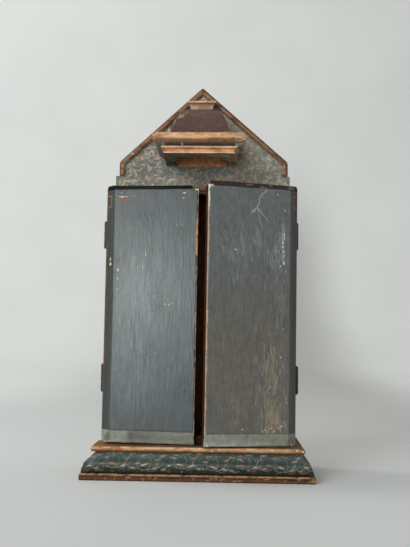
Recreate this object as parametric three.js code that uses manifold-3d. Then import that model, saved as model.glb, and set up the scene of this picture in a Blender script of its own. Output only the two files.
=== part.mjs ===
// A portable altar of painted and gilded wood: a shallow cupboard on a moulded base, closed by two
// hinged doors, under a gabled back board that carries a small projecting canopy.
// Millimetres, +Z up, the front looks towards -Y. The origin is the centre of the base's underside.

import * as THREE from 'three';
import { mergeVertices } from 'three/addons/utils/BufferGeometryUtils.js';
import Module from 'manifold-3d';

const wasm = await Module();
wasm.setup();

// Fine open line left wherever two pieces meet
const SEAM = 0.3;

// Base: three moulded layers, measured outwards from the neck under the ledge
const NECK_HALF_WIDTH = 99;
const NECK_FRONT = -30.6;
const BASE_BACK = 44;
const FOOT_HEIGHT = 6.5;
const FOOT_REACH = 13.4;
const FOOT_EASING = 0.9;
const APRON_TOP = 16.4;
const APRON_REACH = 9.4;
const COVE_TOP = 22.4;
const LEDGE_BOTTOM = 25.5;
const LEDGE_TOP = 31;
const LEDGE_REACH = 4.5;

// The ledge's left end is broken away behind this place
const LEDGE_LOSS = { x: -97.2, y: 1, slant: 0.12 };

// Case: a box of boards, open at the front
const CASE_HALF_WIDTH = 94.7;
const CASE_FRONT = -14;
const CASE_TOP = 290.8;
const CASE_CORNER_RADIUS = 4;
const SIDE_THICKNESS = 8;
const TOP_THICKNESS = 9;
const FLOOR_THICKNESS = 7.7;

// Back board, which rises above the case as a gable
const BOARD_FRONT = 36;
const BOARD_BACK = 44;
const BOARD_LEFT = 96;
const BOARD_RIGHT = 94.4;
const SHOULDER_STEP = 311.6;
const GABLE_HALF_WIDTH = 92;
const GABLE_FOOT = 326.9;
const GABLE_CORNER_RADIUS = 7;
const APEX_HEIGHT = 410.2;
const APEX_OFFSET = -1.8;

// Raised border of the gable
const BORDER_WIDTH = 6;
const BORDER_DEPTH = 3.2;
const BORDER_BEVEL = 1.5;

// Canopy: soffit board, cornice board, bell roof and cap, stacked against the back board
const CANOPY_OFFSET = -2.7;
const SOFFIT_HALF_WIDTH = 38;
const SOFFIT_FRONT = -20.6;
const SOFFIT_BOTTOM = 322.7;
const SOFFIT_TOP = 330;
const SOFFIT_GROOVE = 1.2;
const SOFFIT_FLARE = 2.4;
const CORNICE_TOP = 341.3;
const CORNICE_ROLL_RADIUS = 4.75;
const CORNICE_REACH = 9.7;
const ROOF_HALF_WIDTH = 31.5;
const ROOF_FRONT = -17;
const ROOF_TOP = 383.7;
const ROOF_TOP_HALF_WIDTH = 12;
const ROOF_TOP_FRONT = 27.5;
const ROOF_STEPS = 8;
const CAP_OFFSET = -2.2;
const CAP_TOP = 393;
const CAP_HALF_WIDTH = 12;
const CAP_FRONT = 27.5;
const CAP_REACH = 3.6;

// Niche in the canopy's underside: a half round on straight sides that run back to the board
const NICHE_OFFSET = -1.8;
const NICHE_RADIUS = 27.3;
const NICHE_CENTRE_Y = 22.9;
const NICHE_CEILING = 337.3;

// Doors, measured from the hinge axis: raised boards, bevelled on three sides
const HINGE_AXIS_X = 97;
const DOOR_EDGE = 2.4;
const DOOR_WIDTH = 92.2;
const DOOR_BOTTOM = 32.5;
const DOOR_TOP = 288.2;
const DOOR_BACK_GAP = 0.4;
const DOOR_THICKNESS = 14;
const DOOR_RIM = 7;
const OUTER_BEVEL = 9.6;
const TOP_BEVEL = 4.8;
const BOTTOM_BEVEL = 13.6;
const DOOR_CORNER_RADIUS = 4;
const LEFT_AJAR = THREE.MathUtils.degToRad(1.5);
const RIGHT_AJAR = THREE.MathUtils.degToRad(12);

// Losses at the doors' inner top corners
const LEFT_LOSS = { width: 7, height: 4.4 };
const RIGHT_LOSS = { size: 8.4, turn: 0.62 };

// Iron hinges, two to a door, with three knuckles on a loose pin
const HINGE_HEIGHTS = { upper: 239, lower: 95 };
const HINGE_LENGTH = 26;
const KNUCKLE_RADIUS = 1.6;
const KNUCKLE_BORE = 0.8;
const KNUCKLE_GAP = 0.4;
const LEAF_INNER = 1;
const LEAF_OUTER = 2;
const LEAF_RELIEF = 1.9;
const CASE_LEAF_REACH = 11;
const DOOR_LEAF_REACH = 6.2;
const PIN_RADIUS = 0.72;
const PIN_HEAD_RADIUS = 1.25;
const PIN_HEAD_HEIGHT = 0.8;

const SEGMENTS = { roll: 10, cove: 6, corner: 4, niche: 24, knuckle: 16 };

// Finishes
const finish = (color, roughness, metalness = 0) =>
  new THREE.MeshStandardMaterial({ color, roughness, metalness, flatShading: true });
const FINISH = {
  darkPaint: () => finish(0x323a3b, 0.42),
  tealPaint: () => finish(0x39514f, 0.6),
  redBrownPaint: () => finish(0x4a2b22, 0.5),
  gilding: () => finish(0x9a6f3f, 0.4, 0.35),
  wornBorder: () => finish(0x7d5531, 0.55, 0.15),
  oldWood: () => finish(0x4b3526, 0.75),
  iron: () => finish(0x2a2320, 0.6, 0.7),
};

const altar = new THREE.Group();

function addPiece(parent, name, geometry, material) {
  const mesh = new THREE.Mesh(geometry, material);
  mesh.name = name;
  parent.add(mesh);
  return mesh;
}

// Turns a geometry's faces outwards if they look inwards
function faceOutwards(geometry) {
  const points = geometry.getAttribute('position');
  const index = geometry.getIndex();
  const [a, b, c] = [new THREE.Vector3(), new THREE.Vector3(), new THREE.Vector3()];
  let volume = 0;
  for (let i = 0; i < index.count; i += 3) {
    a.fromBufferAttribute(points, index.getX(i));
    b.fromBufferAttribute(points, index.getX(i + 1));
    c.fromBufferAttribute(points, index.getX(i + 2));
    volume += a.dot(b.cross(c));
  }
  if (volume < 0) {
    for (let i = 0; i < index.count; i += 3) {
      const first = index.getX(i);
      index.setX(i, index.getX(i + 2));
      index.setX(i + 2, first);
    }
  }
  return geometry;
}

// A closed body through a row of rings of equal length; outline is one ring seen flat, for its ends
function loft(rings, outline) {
  const count = rings[0].length;
  const last = (rings.length - 1) * count;
  const clockwise = THREE.ShapeUtils.isClockWise(outline);
  const faces = [];
  for (let ring = 0; ring < rings.length - 1; ring++) {
    for (let j = 0; j < count; j++) {
      const next = (j + 1) % count;
      const [a, b] = [ring * count + j, ring * count + next];
      faces.push(a, b, b + count, a, b + count, a + count);
    }
  }
  for (const [p, q, r] of THREE.ShapeUtils.triangulateShape(outline, [])) {
    const turned = THREE.ShapeUtils.isClockWise([outline[p], outline[q], outline[r]]) !== clockwise;
    const [u, v, w] = turned ? [r, q, p] : [p, q, r];
    faces.push(w, v, u, last + u, last + v, last + w);
  }
  const geometry = new THREE.BufferGeometry().setFromPoints(rings.flat());
  geometry.setIndex(faces);
  return faceOutwards(geometry);
}

function toManifold(geometry) {
  const bare = geometry.clone();
  bare.deleteAttribute('normal');
  bare.deleteAttribute('uv');
  const merged = mergeVertices(bare);
  return new wasm.Manifold(new wasm.Mesh({
    numProp: 3,
    vertProperties: new Float32Array(merged.getAttribute('position').array),
    triVerts: new Uint32Array(merged.getIndex().array),
  }));
}

function fromManifold(manifold) {
  const mesh = manifold.getMesh();
  const geometry = new THREE.BufferGeometry();
  geometry.setAttribute('position', new THREE.BufferAttribute(mesh.vertProperties, 3));
  geometry.setIndex(new THREE.BufferAttribute(mesh.triVerts, 1));
  return geometry;
}

function cutAway(geometry, tool) {
  return fromManifold(toManifold(geometry).subtract(toManifold(tool)));
}

function joinAll(geometries) {
  return fromManifold(geometries.map(toManifold).reduce((whole, piece) => whole.add(piece)));
}

// A box between two corners
function boxBetween(low, high) {
  const size = new THREE.Vector3().subVectors(high, low);
  const middle = new THREE.Vector3().addVectors(low, high).multiplyScalar(0.5);
  return new THREE.BoxGeometry(size.x, size.y, size.z).translate(middle.x, middle.y, middle.z);
}

// Points of an arc in a moulding's profile, x outwards and y up, angles in degrees
function arc(x, y, radiusX, radiusY, from, to, steps) {
  return Array.from({ length: steps + 1 }, (_, i) => {
    const angle = THREE.MathUtils.degToRad(from + ((to - from) * i) / steps);
    return new THREE.Vector2(x + radiusX * Math.cos(angle), y + radiusY * Math.sin(angle));
  });
}

const profilePoint = (reach, height) => new THREE.Vector2(reach, height);

// A board whose profile runs round its front and both ends, with mitred corners and a flat back
function mouldedBoard(profile, { centre = 0, halfWidth, front, back }) {
  const rings = profile.map(({ x: reach, y: height }) => [
    new THREE.Vector3(centre - halfWidth - reach, back, height),
    new THREE.Vector3(centre - halfWidth - reach, front - reach, height),
    new THREE.Vector3(centre + halfWidth + reach, front - reach, height),
    new THREE.Vector3(centre + halfWidth + reach, back, height),
  ]);
  return loft(rings, rings[0].map(({ x, y }) => new THREE.Vector2(x, y)));
}

// Base
function makeBase() {
  const plan = { halfWidth: NECK_HALF_WIDTH, front: NECK_FRONT, back: BASE_BACK };
  const foot = [
    profilePoint(FOOT_REACH - FOOT_EASING, 0),
    profilePoint(FOOT_REACH, FOOT_EASING),
    profilePoint(FOOT_REACH, FOOT_HEIGHT - FOOT_EASING),
    profilePoint(FOOT_REACH - FOOT_EASING, FOOT_HEIGHT),
  ];
  const apronFoot = FOOT_REACH - FOOT_EASING - 0.4;
  const coveHeight = COVE_TOP - APRON_TOP;
  const body = [
    profilePoint(apronFoot, FOOT_HEIGHT + SEAM),
    profilePoint((2 * apronFoot + APRON_REACH) / 3 + 0.3, FOOT_HEIGHT + 4),
    profilePoint(APRON_REACH + 0.5, APRON_TOP - 1.2),
    ...arc(APRON_REACH, COVE_TOP, APRON_REACH, coveHeight, 270, 180, SEGMENTS.cove),
    profilePoint(0, LEDGE_BOTTOM - SEAM),
  ];
  const noseRadius = (LEDGE_TOP - LEDGE_BOTTOM) / 2;
  const noseCentre = LEDGE_REACH - noseRadius;
  const ledge = arc(
    noseCentre, LEDGE_BOTTOM + noseRadius, noseRadius, noseRadius, -90, 90, SEGMENTS.roll,
  );
  addPiece(altar, 'base_foot', mouldedBoard(foot, plan), FINISH.gilding());
  addPiece(altar, 'base_moulding', mouldedBoard(body, plan), FINISH.tealPaint());
  const lossSize = 2 * BASE_BACK;
  const loss = boxBetween(
    new THREE.Vector3(-lossSize, 0, -lossSize), new THREE.Vector3(0, lossSize, lossSize),
  ).rotateZ(-LEDGE_LOSS.slant).translate(LEDGE_LOSS.x, LEDGE_LOSS.y, LEDGE_TOP);
  addPiece(altar, 'base_ledge', cutAway(mouldedBoard(ledge, plan), loss), FINISH.gilding());
}

// Case
function makeCase() {
  const bottom = LEDGE_TOP + SEAM;
  const back = BOARD_FRONT - SEAM;
  const sideTop = CASE_TOP - TOP_THICKNESS - SEAM;
  const inner = CASE_HALF_WIDTH - SIDE_THICKNESS;
  for (const [name, outerX, innerX] of [
    ['case_left_side', -CASE_HALF_WIDTH, -inner],
    ['case_right_side', inner, CASE_HALF_WIDTH],
  ]) {
    const low = new THREE.Vector3(outerX, CASE_FRONT, bottom);
    const high = new THREE.Vector3(innerX, back, sideTop);
    addPiece(altar, name, boxBetween(low, high), FINISH.darkPaint());
  }
  const floorHalf = inner - SEAM;
  const floor = boxBetween(
    new THREE.Vector3(-floorHalf, CASE_FRONT, bottom),
    new THREE.Vector3(floorHalf, back, bottom + FLOOR_THICKNESS),
  );
  addPiece(altar, 'case_floor', floor, FINISH.oldWood());

  const low = CASE_TOP - TOP_THICKNESS;
  const turn = CASE_HALF_WIDTH - CASE_CORNER_RADIUS;
  const height = CASE_TOP - CASE_CORNER_RADIUS;
  const radius = CASE_CORNER_RADIUS;
  const outline = [
    new THREE.Vector2(-CASE_HALF_WIDTH, low),
    new THREE.Vector2(CASE_HALF_WIDTH, low),
    ...arc(turn, height, radius, radius, 0, 90, SEGMENTS.corner),
    ...arc(-turn, height, radius, radius, 90, 180, SEGMENTS.corner),
  ];
  const ends = [CASE_FRONT, back].map((y) => outline.map((p) => new THREE.Vector3(p.x, y, p.y)));
  addPiece(altar, 'case_top', loft(ends, outline), FINISH.oldWood());
}

// One side of the gable's edge, from the shoulder step up to the apex, as points across and up.
// side is -1 for the left and 1 for the right.
function gableEdge(side) {
  const foot = new THREE.Vector2(side * GABLE_HALF_WIDTH, GABLE_FOOT);
  const apex = new THREE.Vector2(APEX_OFFSET, APEX_HEIGHT);
  const upright = new THREE.Vector2(0, 1);
  const rake = apex.clone().sub(foot).normalize();
  const bend = upright.angleTo(rake);
  const tangent = GABLE_CORNER_RADIUS * Math.tan(bend / 2);
  const start = foot.clone().addScaledVector(upright, -tangent);
  const centre = start.clone().add(new THREE.Vector2(-side * GABLE_CORNER_RADIUS, 0));
  const corner = Array.from({ length: SEGMENTS.corner + 1 }, (_, i) => {
    const angle = (bend * i) / SEGMENTS.corner;
    return new THREE.Vector2(
      centre.x + side * GABLE_CORNER_RADIUS * Math.cos(angle),
      centre.y + GABLE_CORNER_RADIUS * Math.sin(angle),
    );
  });
  return [new THREE.Vector2(side * GABLE_HALF_WIDTH, SHOULDER_STEP), ...corner, apex];
}

function makeBackBoard() {
  const left = gableEdge(-1);
  const right = gableEdge(1);
  const bottom = LEDGE_TOP + SEAM;
  const outline = [
    new THREE.Vector2(-BOARD_LEFT, bottom),
    new THREE.Vector2(BOARD_RIGHT, bottom),
    new THREE.Vector2(BOARD_RIGHT, SHOULDER_STEP),
    ...right,
    ...left.slice(0, -1).reverse(),
    new THREE.Vector2(-BOARD_LEFT, SHOULDER_STEP),
  ];
  const ends = [BOARD_FRONT, BOARD_BACK].map((y) =>
    outline.map((p) => new THREE.Vector3(p.x, y, p.y)));
  addPiece(altar, 'back_board', loft(ends, outline), FINISH.tealPaint());
}

// The raised border follows the gable's edge, with its profile measured inwards and forwards.
// The clearance grows it, to make room for it in the pieces that it runs through.
function borderBody(side, clearance) {
  const edge = gableEdge(side);
  edge[0].y += SEAM;
  const low = BORDER_DEPTH - BORDER_BEVEL;
  const width = BORDER_WIDTH;
  const outline = [
    [-clearance, -clearance], [-clearance, low + clearance],
    [BORDER_BEVEL - clearance, BORDER_DEPTH + clearance],
    [width - BORDER_BEVEL + clearance, BORDER_DEPTH + clearance],
    [width + clearance, low + clearance], [width + clearance, -clearance],
  ].map(([across, forward]) => new THREE.Vector2(across, forward));
  const inwards = edge.slice(1).map((point, i) => {
    const along = point.clone().sub(edge[i]).normalize();
    return new THREE.Vector2(-side * along.y, side * along.x);
  });
  const rings = edge.map((point, i) => {
    const atApex = i === edge.length - 1;
    const before = inwards[Math.max(i - 1, 0)];
    const after = atApex ? new THREE.Vector2(-before.x, before.y) : inwards[i];
    const mitre = before.clone().add(after).divideScalar(1 + before.dot(after));
    const shift = atApex ? side * (SEAM / 2 - clearance) : 0;
    return outline.map(({ x: across, y: forward }) => new THREE.Vector3(
      point.x + mitre.x * across + shift,
      BOARD_FRONT - SEAM - forward,
      point.y + mitre.y * across,
    ));
  });
  return loft(rings, outline);
}

// The space of the niche, from below the soffit up to its ceiling
function nicheSpace() {
  const shape = new THREE.Shape();
  shape.moveTo(-NICHE_RADIUS, BOARD_FRONT + 1);
  shape.lineTo(-NICHE_RADIUS, NICHE_CENTRE_Y);
  shape.absarc(0, NICHE_CENTRE_Y, NICHE_RADIUS, Math.PI, 2 * Math.PI, false);
  shape.lineTo(NICHE_RADIUS, BOARD_FRONT + 1);
  const below = SOFFIT_BOTTOM - 1;
  return new THREE.ExtrudeGeometry(shape, {
    depth: NICHE_CEILING - below, bevelEnabled: false, curveSegments: SEGMENTS.niche,
  }).translate(NICHE_OFFSET, 0, below);
}

function makeCanopy() {
  const back = BOARD_FRONT - SEAM;
  const plan = {
    centre: CANOPY_OFFSET, halfWidth: SOFFIT_HALF_WIDTH, front: SOFFIT_FRONT, back,
  };
  const fillet = (SOFFIT_TOP - SOFFIT_BOTTOM) / 3;
  const soffit = [
    profilePoint(0, SOFFIT_BOTTOM),
    profilePoint(0, SOFFIT_BOTTOM + fillet - SOFFIT_GROOVE / 2),
    profilePoint(-SOFFIT_GROOVE, SOFFIT_BOTTOM + fillet),
    profilePoint(-SOFFIT_GROOVE, SOFFIT_TOP - fillet - SOFFIT_GROOVE),
    profilePoint(SOFFIT_FLARE, SOFFIT_TOP - fillet + SOFFIT_GROOVE / 2),
    profilePoint(SOFFIT_FLARE, SOFFIT_TOP),
  ];
  const rollCentre = CORNICE_REACH - CORNICE_ROLL_RADIUS;
  const rollBottom = CORNICE_TOP - 2 * CORNICE_ROLL_RADIUS;
  const radius = CORNICE_ROLL_RADIUS;
  const cornice = [
    profilePoint(-0.6, SOFFIT_TOP + SEAM),
    profilePoint(1, rollBottom - 0.7),
    ...arc(rollCentre, rollBottom + radius, radius, radius, -90, 90, SEGMENTS.roll),
  ];
  const niche = nicheSpace();
  addPiece(altar, 'canopy_soffit', cutAway(mouldedBoard(soffit, plan), niche), FINISH.gilding());
  addPiece(altar, 'canopy_cornice', cutAway(mouldedBoard(cornice, plan), niche), FINISH.gilding());

  // The roof narrows slowly at first and fast near its top, on a quarter of a curve
  const roofBottom = CORNICE_TOP + SEAM;
  const roofRings = Array.from({ length: ROOF_STEPS + 1 }, (_, i) => {
    const turn = (Math.PI / 2) * (i / ROOF_STEPS);
    const rise = Math.sin(turn) * 0.72 + (i / ROOF_STEPS) * 0.28;
    const narrowing = (1 - Math.cos(turn)) * 0.55 + (i / ROOF_STEPS) * 0.45;
    const height = THREE.MathUtils.lerp(roofBottom, ROOF_TOP, rise);
    const half = THREE.MathUtils.lerp(ROOF_HALF_WIDTH, ROOF_TOP_HALF_WIDTH, narrowing);
    const front = THREE.MathUtils.lerp(ROOF_FRONT, ROOF_TOP_FRONT, narrowing);
    return [
      new THREE.Vector3(CANOPY_OFFSET - half, back, height),
      new THREE.Vector3(CANOPY_OFFSET - half, front, height),
      new THREE.Vector3(CANOPY_OFFSET + half, front, height),
      new THREE.Vector3(CANOPY_OFFSET + half, back, height),
    ];
  });
  const roof = loft(roofRings, roofRings[0].map(({ x, y }) => new THREE.Vector2(x, y)));
  addPiece(altar, 'canopy_roof', roof, FINISH.redBrownPaint());

  const capBottom = ROOF_TOP + SEAM;
  const capCove = CAP_TOP - 2.2 - capBottom;
  const cap = [
    ...arc(CAP_REACH, capBottom, CAP_REACH, capCove, 180, 90, SEGMENTS.cove),
    profilePoint(CAP_REACH, CAP_TOP),
  ];
  const capPlan = { centre: CAP_OFFSET, halfWidth: CAP_HALF_WIDTH, front: CAP_FRONT, back };
  const fittedCap = [-1, 1].reduce(
    (piece, side) => cutAway(piece, borderBody(side, SEAM)), mouldedBoard(cap, capPlan),
  );
  addPiece(altar, 'canopy_cap', fittedCap, FINISH.gilding());
}

// A door seen from the front, with its hinge axis at x = 0: its outline at one depth, drawn
// from the inner bottom corner. side is -1 for the left door and 1 for the right.
function doorOutline(side, outer, bottom, top, radius) {
  const inner = DOOR_EDGE + DOOR_WIDTH;
  const turns = SEGMENTS.corner;
  const points = [
    new THREE.Vector2(inner, bottom),
    new THREE.Vector2(inner, top),
    ...arc(outer + radius, top - radius, radius, radius, 90, 180, turns),
    ...arc(outer + radius, bottom + radius, radius, radius, 180, 270, turns),
  ];
  return points.map((p) => new THREE.Vector2(-side * p.x, p.y));
}

function doorBoard(side) {
  const whole = doorOutline(side, DOOR_EDGE, DOOR_BOTTOM, DOOR_TOP, DOOR_CORNER_RADIUS);
  const field = doorOutline(
    side, DOOR_EDGE + OUTER_BEVEL, DOOR_BOTTOM + BOTTOM_BEVEL, DOOR_TOP - TOP_BEVEL, 0.6,
  );
  const rings = [[whole, 0], [whole, DOOR_RIM], [field, DOOR_THICKNESS]].map(([ring, depth]) =>
    ring.map((p) => new THREE.Vector3(p.x, -DOOR_BACK_GAP - depth, p.y)));
  return loft(rings, whole);
}

function makeDoors() {
  const inner = DOOR_EDGE + DOOR_WIDTH;
  const doors = {};
  for (const [name, side, ajar] of [['left_door', -1, LEFT_AJAR], ['right_door', 1, RIGHT_AJAR]]) {
    const group = new THREE.Group();
    group.position.set(side * HINGE_AXIS_X, CASE_FRONT, 0);
    group.rotation.z = side * ajar;
    altar.add(group);
    doors[name] = group;
    let loss;
    if (side < 0) {
      loss = boxBetween(
        new THREE.Vector3(inner - LEFT_LOSS.width, -DOOR_THICKNESS - 2, DOOR_TOP - LEFT_LOSS.height),
        new THREE.Vector3(inner + 2, 2, DOOR_TOP + 2),
      );
    } else {
      const size = RIGHT_LOSS.size;
      loss = new THREE.BoxGeometry(size, 3 * DOOR_THICKNESS, size);
      loss.rotateY(RIGHT_LOSS.turn).translate(-inner, 0, DOOR_TOP);
    }
    addPiece(group, name, cutAway(doorBoard(side), loss), FINISH.darkPaint());
  }
  return doors;
}

// A round tube standing on the hinge axis, between two heights
function knuckle(from, to) {
  const shape = new THREE.Shape().absarc(0, 0, KNUCKLE_RADIUS, 0, 2 * Math.PI, false);
  shape.holes.push(new THREE.Path().absarc(0, 0, KNUCKLE_BORE, 0, 2 * Math.PI, true));
  return new THREE.ExtrudeGeometry(shape, {
    depth: to - from, bevelEnabled: false, curveSegments: SEGMENTS.knuckle,
  }).translate(0, 0, from);
}

// One leaf of a hinge: a plate with its knuckles, cut back where the other leaf's knuckles turn
function hingeLeaf(side, direction, reach, ownKnuckles, reliefs) {
  const half = HINGE_LENGTH / 2;
  const [near, far] = side < 0 ? [LEAF_INNER, LEAF_OUTER] : [-LEAF_OUTER, -LEAF_INNER];
  const [y0, y1] = direction > 0 ? [0, reach] : [-reach, 0];
  const plate = boxBetween(new THREE.Vector3(near, y0, -half), new THREE.Vector3(far, y1, half));
  const whole = joinAll([plate, ...ownKnuckles.map(([from, to]) => knuckle(from, to))]);
  const bore = new THREE.CylinderGeometry(
    KNUCKLE_BORE, KNUCKLE_BORE, HINGE_LENGTH + 2, SEGMENTS.knuckle,
  ).rotateX(Math.PI / 2);
  const tools = reliefs.map(([from, to]) => boxBetween(
    new THREE.Vector3(-LEAF_OUTER - 1, -LEAF_RELIEF, from - KNUCKLE_GAP),
    new THREE.Vector3(LEAF_OUTER + 1, LEAF_RELIEF, to + KNUCKLE_GAP),
  ));
  return [bore, ...tools].reduce((leaf, tool) => cutAway(leaf, tool), whole);
}

function hingePin() {
  const end = HINGE_LENGTH / 2 + SEAM;
  const crown = end + PIN_HEAD_HEIGHT;
  const half = [
    [PIN_RADIUS, end], [PIN_HEAD_RADIUS, end], [PIN_HEAD_RADIUS * 0.8, crown - 0.2], [0, crown],
  ];
  const profile = [
    ...half.map(([r, z]) => new THREE.Vector2(r, -z)).reverse(),
    ...half.map(([r, z]) => new THREE.Vector2(r, z)),
  ];
  return new THREE.LatheGeometry(profile, SEGMENTS.knuckle).rotateX(Math.PI / 2);
}

function makeHinges(doors) {
  const half = HINGE_LENGTH / 2;
  const inner = HINGE_LENGTH / 6;
  const middle = [[-inner + KNUCKLE_GAP / 2, inner - KNUCKLE_GAP / 2]];
  const outside = [[-half, -inner - KNUCKLE_GAP / 2], [inner + KNUCKLE_GAP / 2, half]];
  for (const [sideName, side] of [['left', -1], ['right', 1]]) {
    for (const [level, height] of Object.entries(HINGE_HEIGHTS)) {
      const name = `${sideName}_${level}_hinge`;
      const caseLeaf = hingeLeaf(side, 1, CASE_LEAF_REACH, outside, middle);
      const doorLeaf = hingeLeaf(side, -1, DOOR_LEAF_REACH, middle, outside);
      addPiece(altar, `${name}_case_leaf`, caseLeaf, FINISH.iron())
        .position.set(side * HINGE_AXIS_X, CASE_FRONT, height);
      addPiece(altar, `${name}_pin`, hingePin(), FINISH.iron())
        .position.set(side * HINGE_AXIS_X, CASE_FRONT, height);
      addPiece(doors[`${sideName}_door`], `${name}_door_leaf`, doorLeaf, FINISH.iron())
        .position.set(0, 0, height);
    }
  }
}

makeBase();
makeCase();
makeBackBoard();
addPiece(altar, 'gable_border_left', borderBody(-1, 0), FINISH.wornBorder());
addPiece(altar, 'gable_border_right', borderBody(1, 0), FINISH.wornBorder());
makeCanopy();
makeHinges(makeDoors());

export default altar;
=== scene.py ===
# The looks of the portable altar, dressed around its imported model. Shapes are worked out in
# millimetres in the model's own frame, and turned into metres as each mesh is made.

import math

import bpy
import numpy as np
from mathutils import Matrix, Vector


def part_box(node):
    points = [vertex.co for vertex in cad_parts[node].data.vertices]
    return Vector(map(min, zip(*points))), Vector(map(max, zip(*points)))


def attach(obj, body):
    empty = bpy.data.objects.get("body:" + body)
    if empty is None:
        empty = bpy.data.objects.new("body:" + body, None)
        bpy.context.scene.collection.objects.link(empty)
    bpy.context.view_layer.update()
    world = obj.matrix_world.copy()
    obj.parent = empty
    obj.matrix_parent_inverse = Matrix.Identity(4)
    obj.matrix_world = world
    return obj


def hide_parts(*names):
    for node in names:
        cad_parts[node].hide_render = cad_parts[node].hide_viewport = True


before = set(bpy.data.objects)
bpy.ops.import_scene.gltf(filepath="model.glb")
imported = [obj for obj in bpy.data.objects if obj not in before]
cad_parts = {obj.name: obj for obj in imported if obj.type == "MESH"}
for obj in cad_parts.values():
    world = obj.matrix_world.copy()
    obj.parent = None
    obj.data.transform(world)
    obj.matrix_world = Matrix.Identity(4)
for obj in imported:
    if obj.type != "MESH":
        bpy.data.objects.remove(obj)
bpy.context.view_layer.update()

MM = 0.001

# The photograph's camera, solved from the object's straight edges
IMAGE_HEIGHT = 547
FOCAL_PIXELS = 697.21
SENSOR_HEIGHT = 36
CAMERA_AT = (25.39, -716.21, 142.2)
CAMERA_YAW, CAMERA_PITCH, CAMERA_ROLL = (math.radians(angle) for angle in (-1.70, 4.76, 0.70))

# Doors, measured from the hinge axis as the solids are
HINGE_X = 97
HINGE_Y = -14
DOOR_ANGLE = {"left": math.radians(1.5), "right": math.radians(12)}
DOOR_SIDE = {"left": -1, "right": 1}
DOOR_EDGE = 2.4
DOOR_WIDTH = 92.2
DOOR_INNER = DOOR_EDGE + DOOR_WIDTH
DOOR_BOTTOM, DOOR_TOP = 32.5, 288.2
DOOR_GAP = 0.4
DOOR_THICKNESS = 14
DOOR_RIM = 7
OUTER_BEVEL, TOP_BEVEL, BOTTOM_BEVEL = 9.6, 5.5, 13.6
DOOR_CORNER = 4
# The old boards have warped a little: how far each corner stands off square, across and up
DOOR_SKEW = {
    "left": {"outer top": (-0.3, 0.0), "inner top": (0.7, 1.0), "outer low": (-0.8, 0.0), "inner low": (-1.1, -1.2)},
    "right": {"outer top": (-0.8, -0.2), "inner top": (-0.9, 1.4), "outer low": (1.0, -1.2), "inner low": (0.6, -0.1)},
}

# Back board
BOARD_FRONT, BOARD_BACK = 36, 44
BOARD_LEFT, BOARD_RIGHT = -96, 94.4
BOARD_BOTTOM = 31.3
SHOULDER = 311.6
GABLE_HALF_WIDTH = 92
GABLE_FOOT = 326.9
GABLE_ROUND = 7
APEX = (-1.8, 410.2)

# Base
NECK_HALF_WIDTH, NECK_FRONT, BASE_BACK = 99, -30.6, 44
FOOT_REACH, FOOT_HEIGHT, FOOT_EASING = 13.4, 6.5, 0.9
APRON_REACH, APRON_TOP, COVE_TOP = 9.4, 16.4, 22.4
LEDGE_BOTTOM, LEDGE_TOP, LEDGE_REACH = 25.5, 31, 4.5
LEDGE_LOSS_X, LEDGE_LOSS_Y = -97.2, 1
SEAM = 0.3


def srgb(red, green, blue):
    """A colour named as on a screen, from 0 to 255, in the linear values that shaders take."""
    value = np.array([red, green, blue]) / 255
    return np.where(value <= 0.04045, value / 12.92, ((value + 0.055) / 1.055) ** 2.4)


def smooth(value, low, high):
    """0 below low, 1 above high, and an even turn between them."""
    t = np.clip((np.asarray(value, float) - low) / (high - low), 0, 1)
    return t * t * (3 - 2 * t)


def lattice(cell, seed):
    """A fixed random number from 0 to 1 for each whole-numbered cell."""
    mixed = cell[..., 0] * 374761393 + cell[..., 1] * 668265263 + cell[..., 2] * 1440662683
    mixed = (mixed + seed * 974634777) & 0xFFFFFFFF
    mixed = ((mixed ^ (mixed >> 13)) * 1274126177) & 0xFFFFFFFF
    return ((mixed ^ (mixed >> 16)) & 0xFFFF) / 0xFFFF


def grain(points, size, seed, octaves=3):
    """Smooth random values from 0 to 1; size is the grain in millimetres, one number or three."""
    total = np.zeros(len(points))
    weight = 0
    for octave in range(octaves):
        scaled = np.asarray(points) * 2**octave / np.asarray(size, float)
        cell = np.floor(scaled).astype(np.int64)
        share = smooth(scaled - cell, 0, 1)
        value = np.zeros(len(points))
        for corner in range(8):
            step = np.array([corner & 1, corner >> 1 & 1, corner >> 2])
            value += np.prod(np.where(step, share, 1 - share), axis=1) * lattice(cell + step, seed + octave)
        total += value / 2**octave
        weight += 1 / 2**octave
    return total / weight


def spaced(low, high, step, keys=()):
    """Places from low to high about a step apart, with the keys among them."""
    stops = sorted({low, high, *[key for key in keys if low < key < high]})
    runs = [
        np.linspace(a, b, max(1, round((b - a) / step)), endpoint=False)
        for a, b in zip(stops, stops[1:])
    ]
    return np.concatenate([*runs, [high]])


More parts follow.
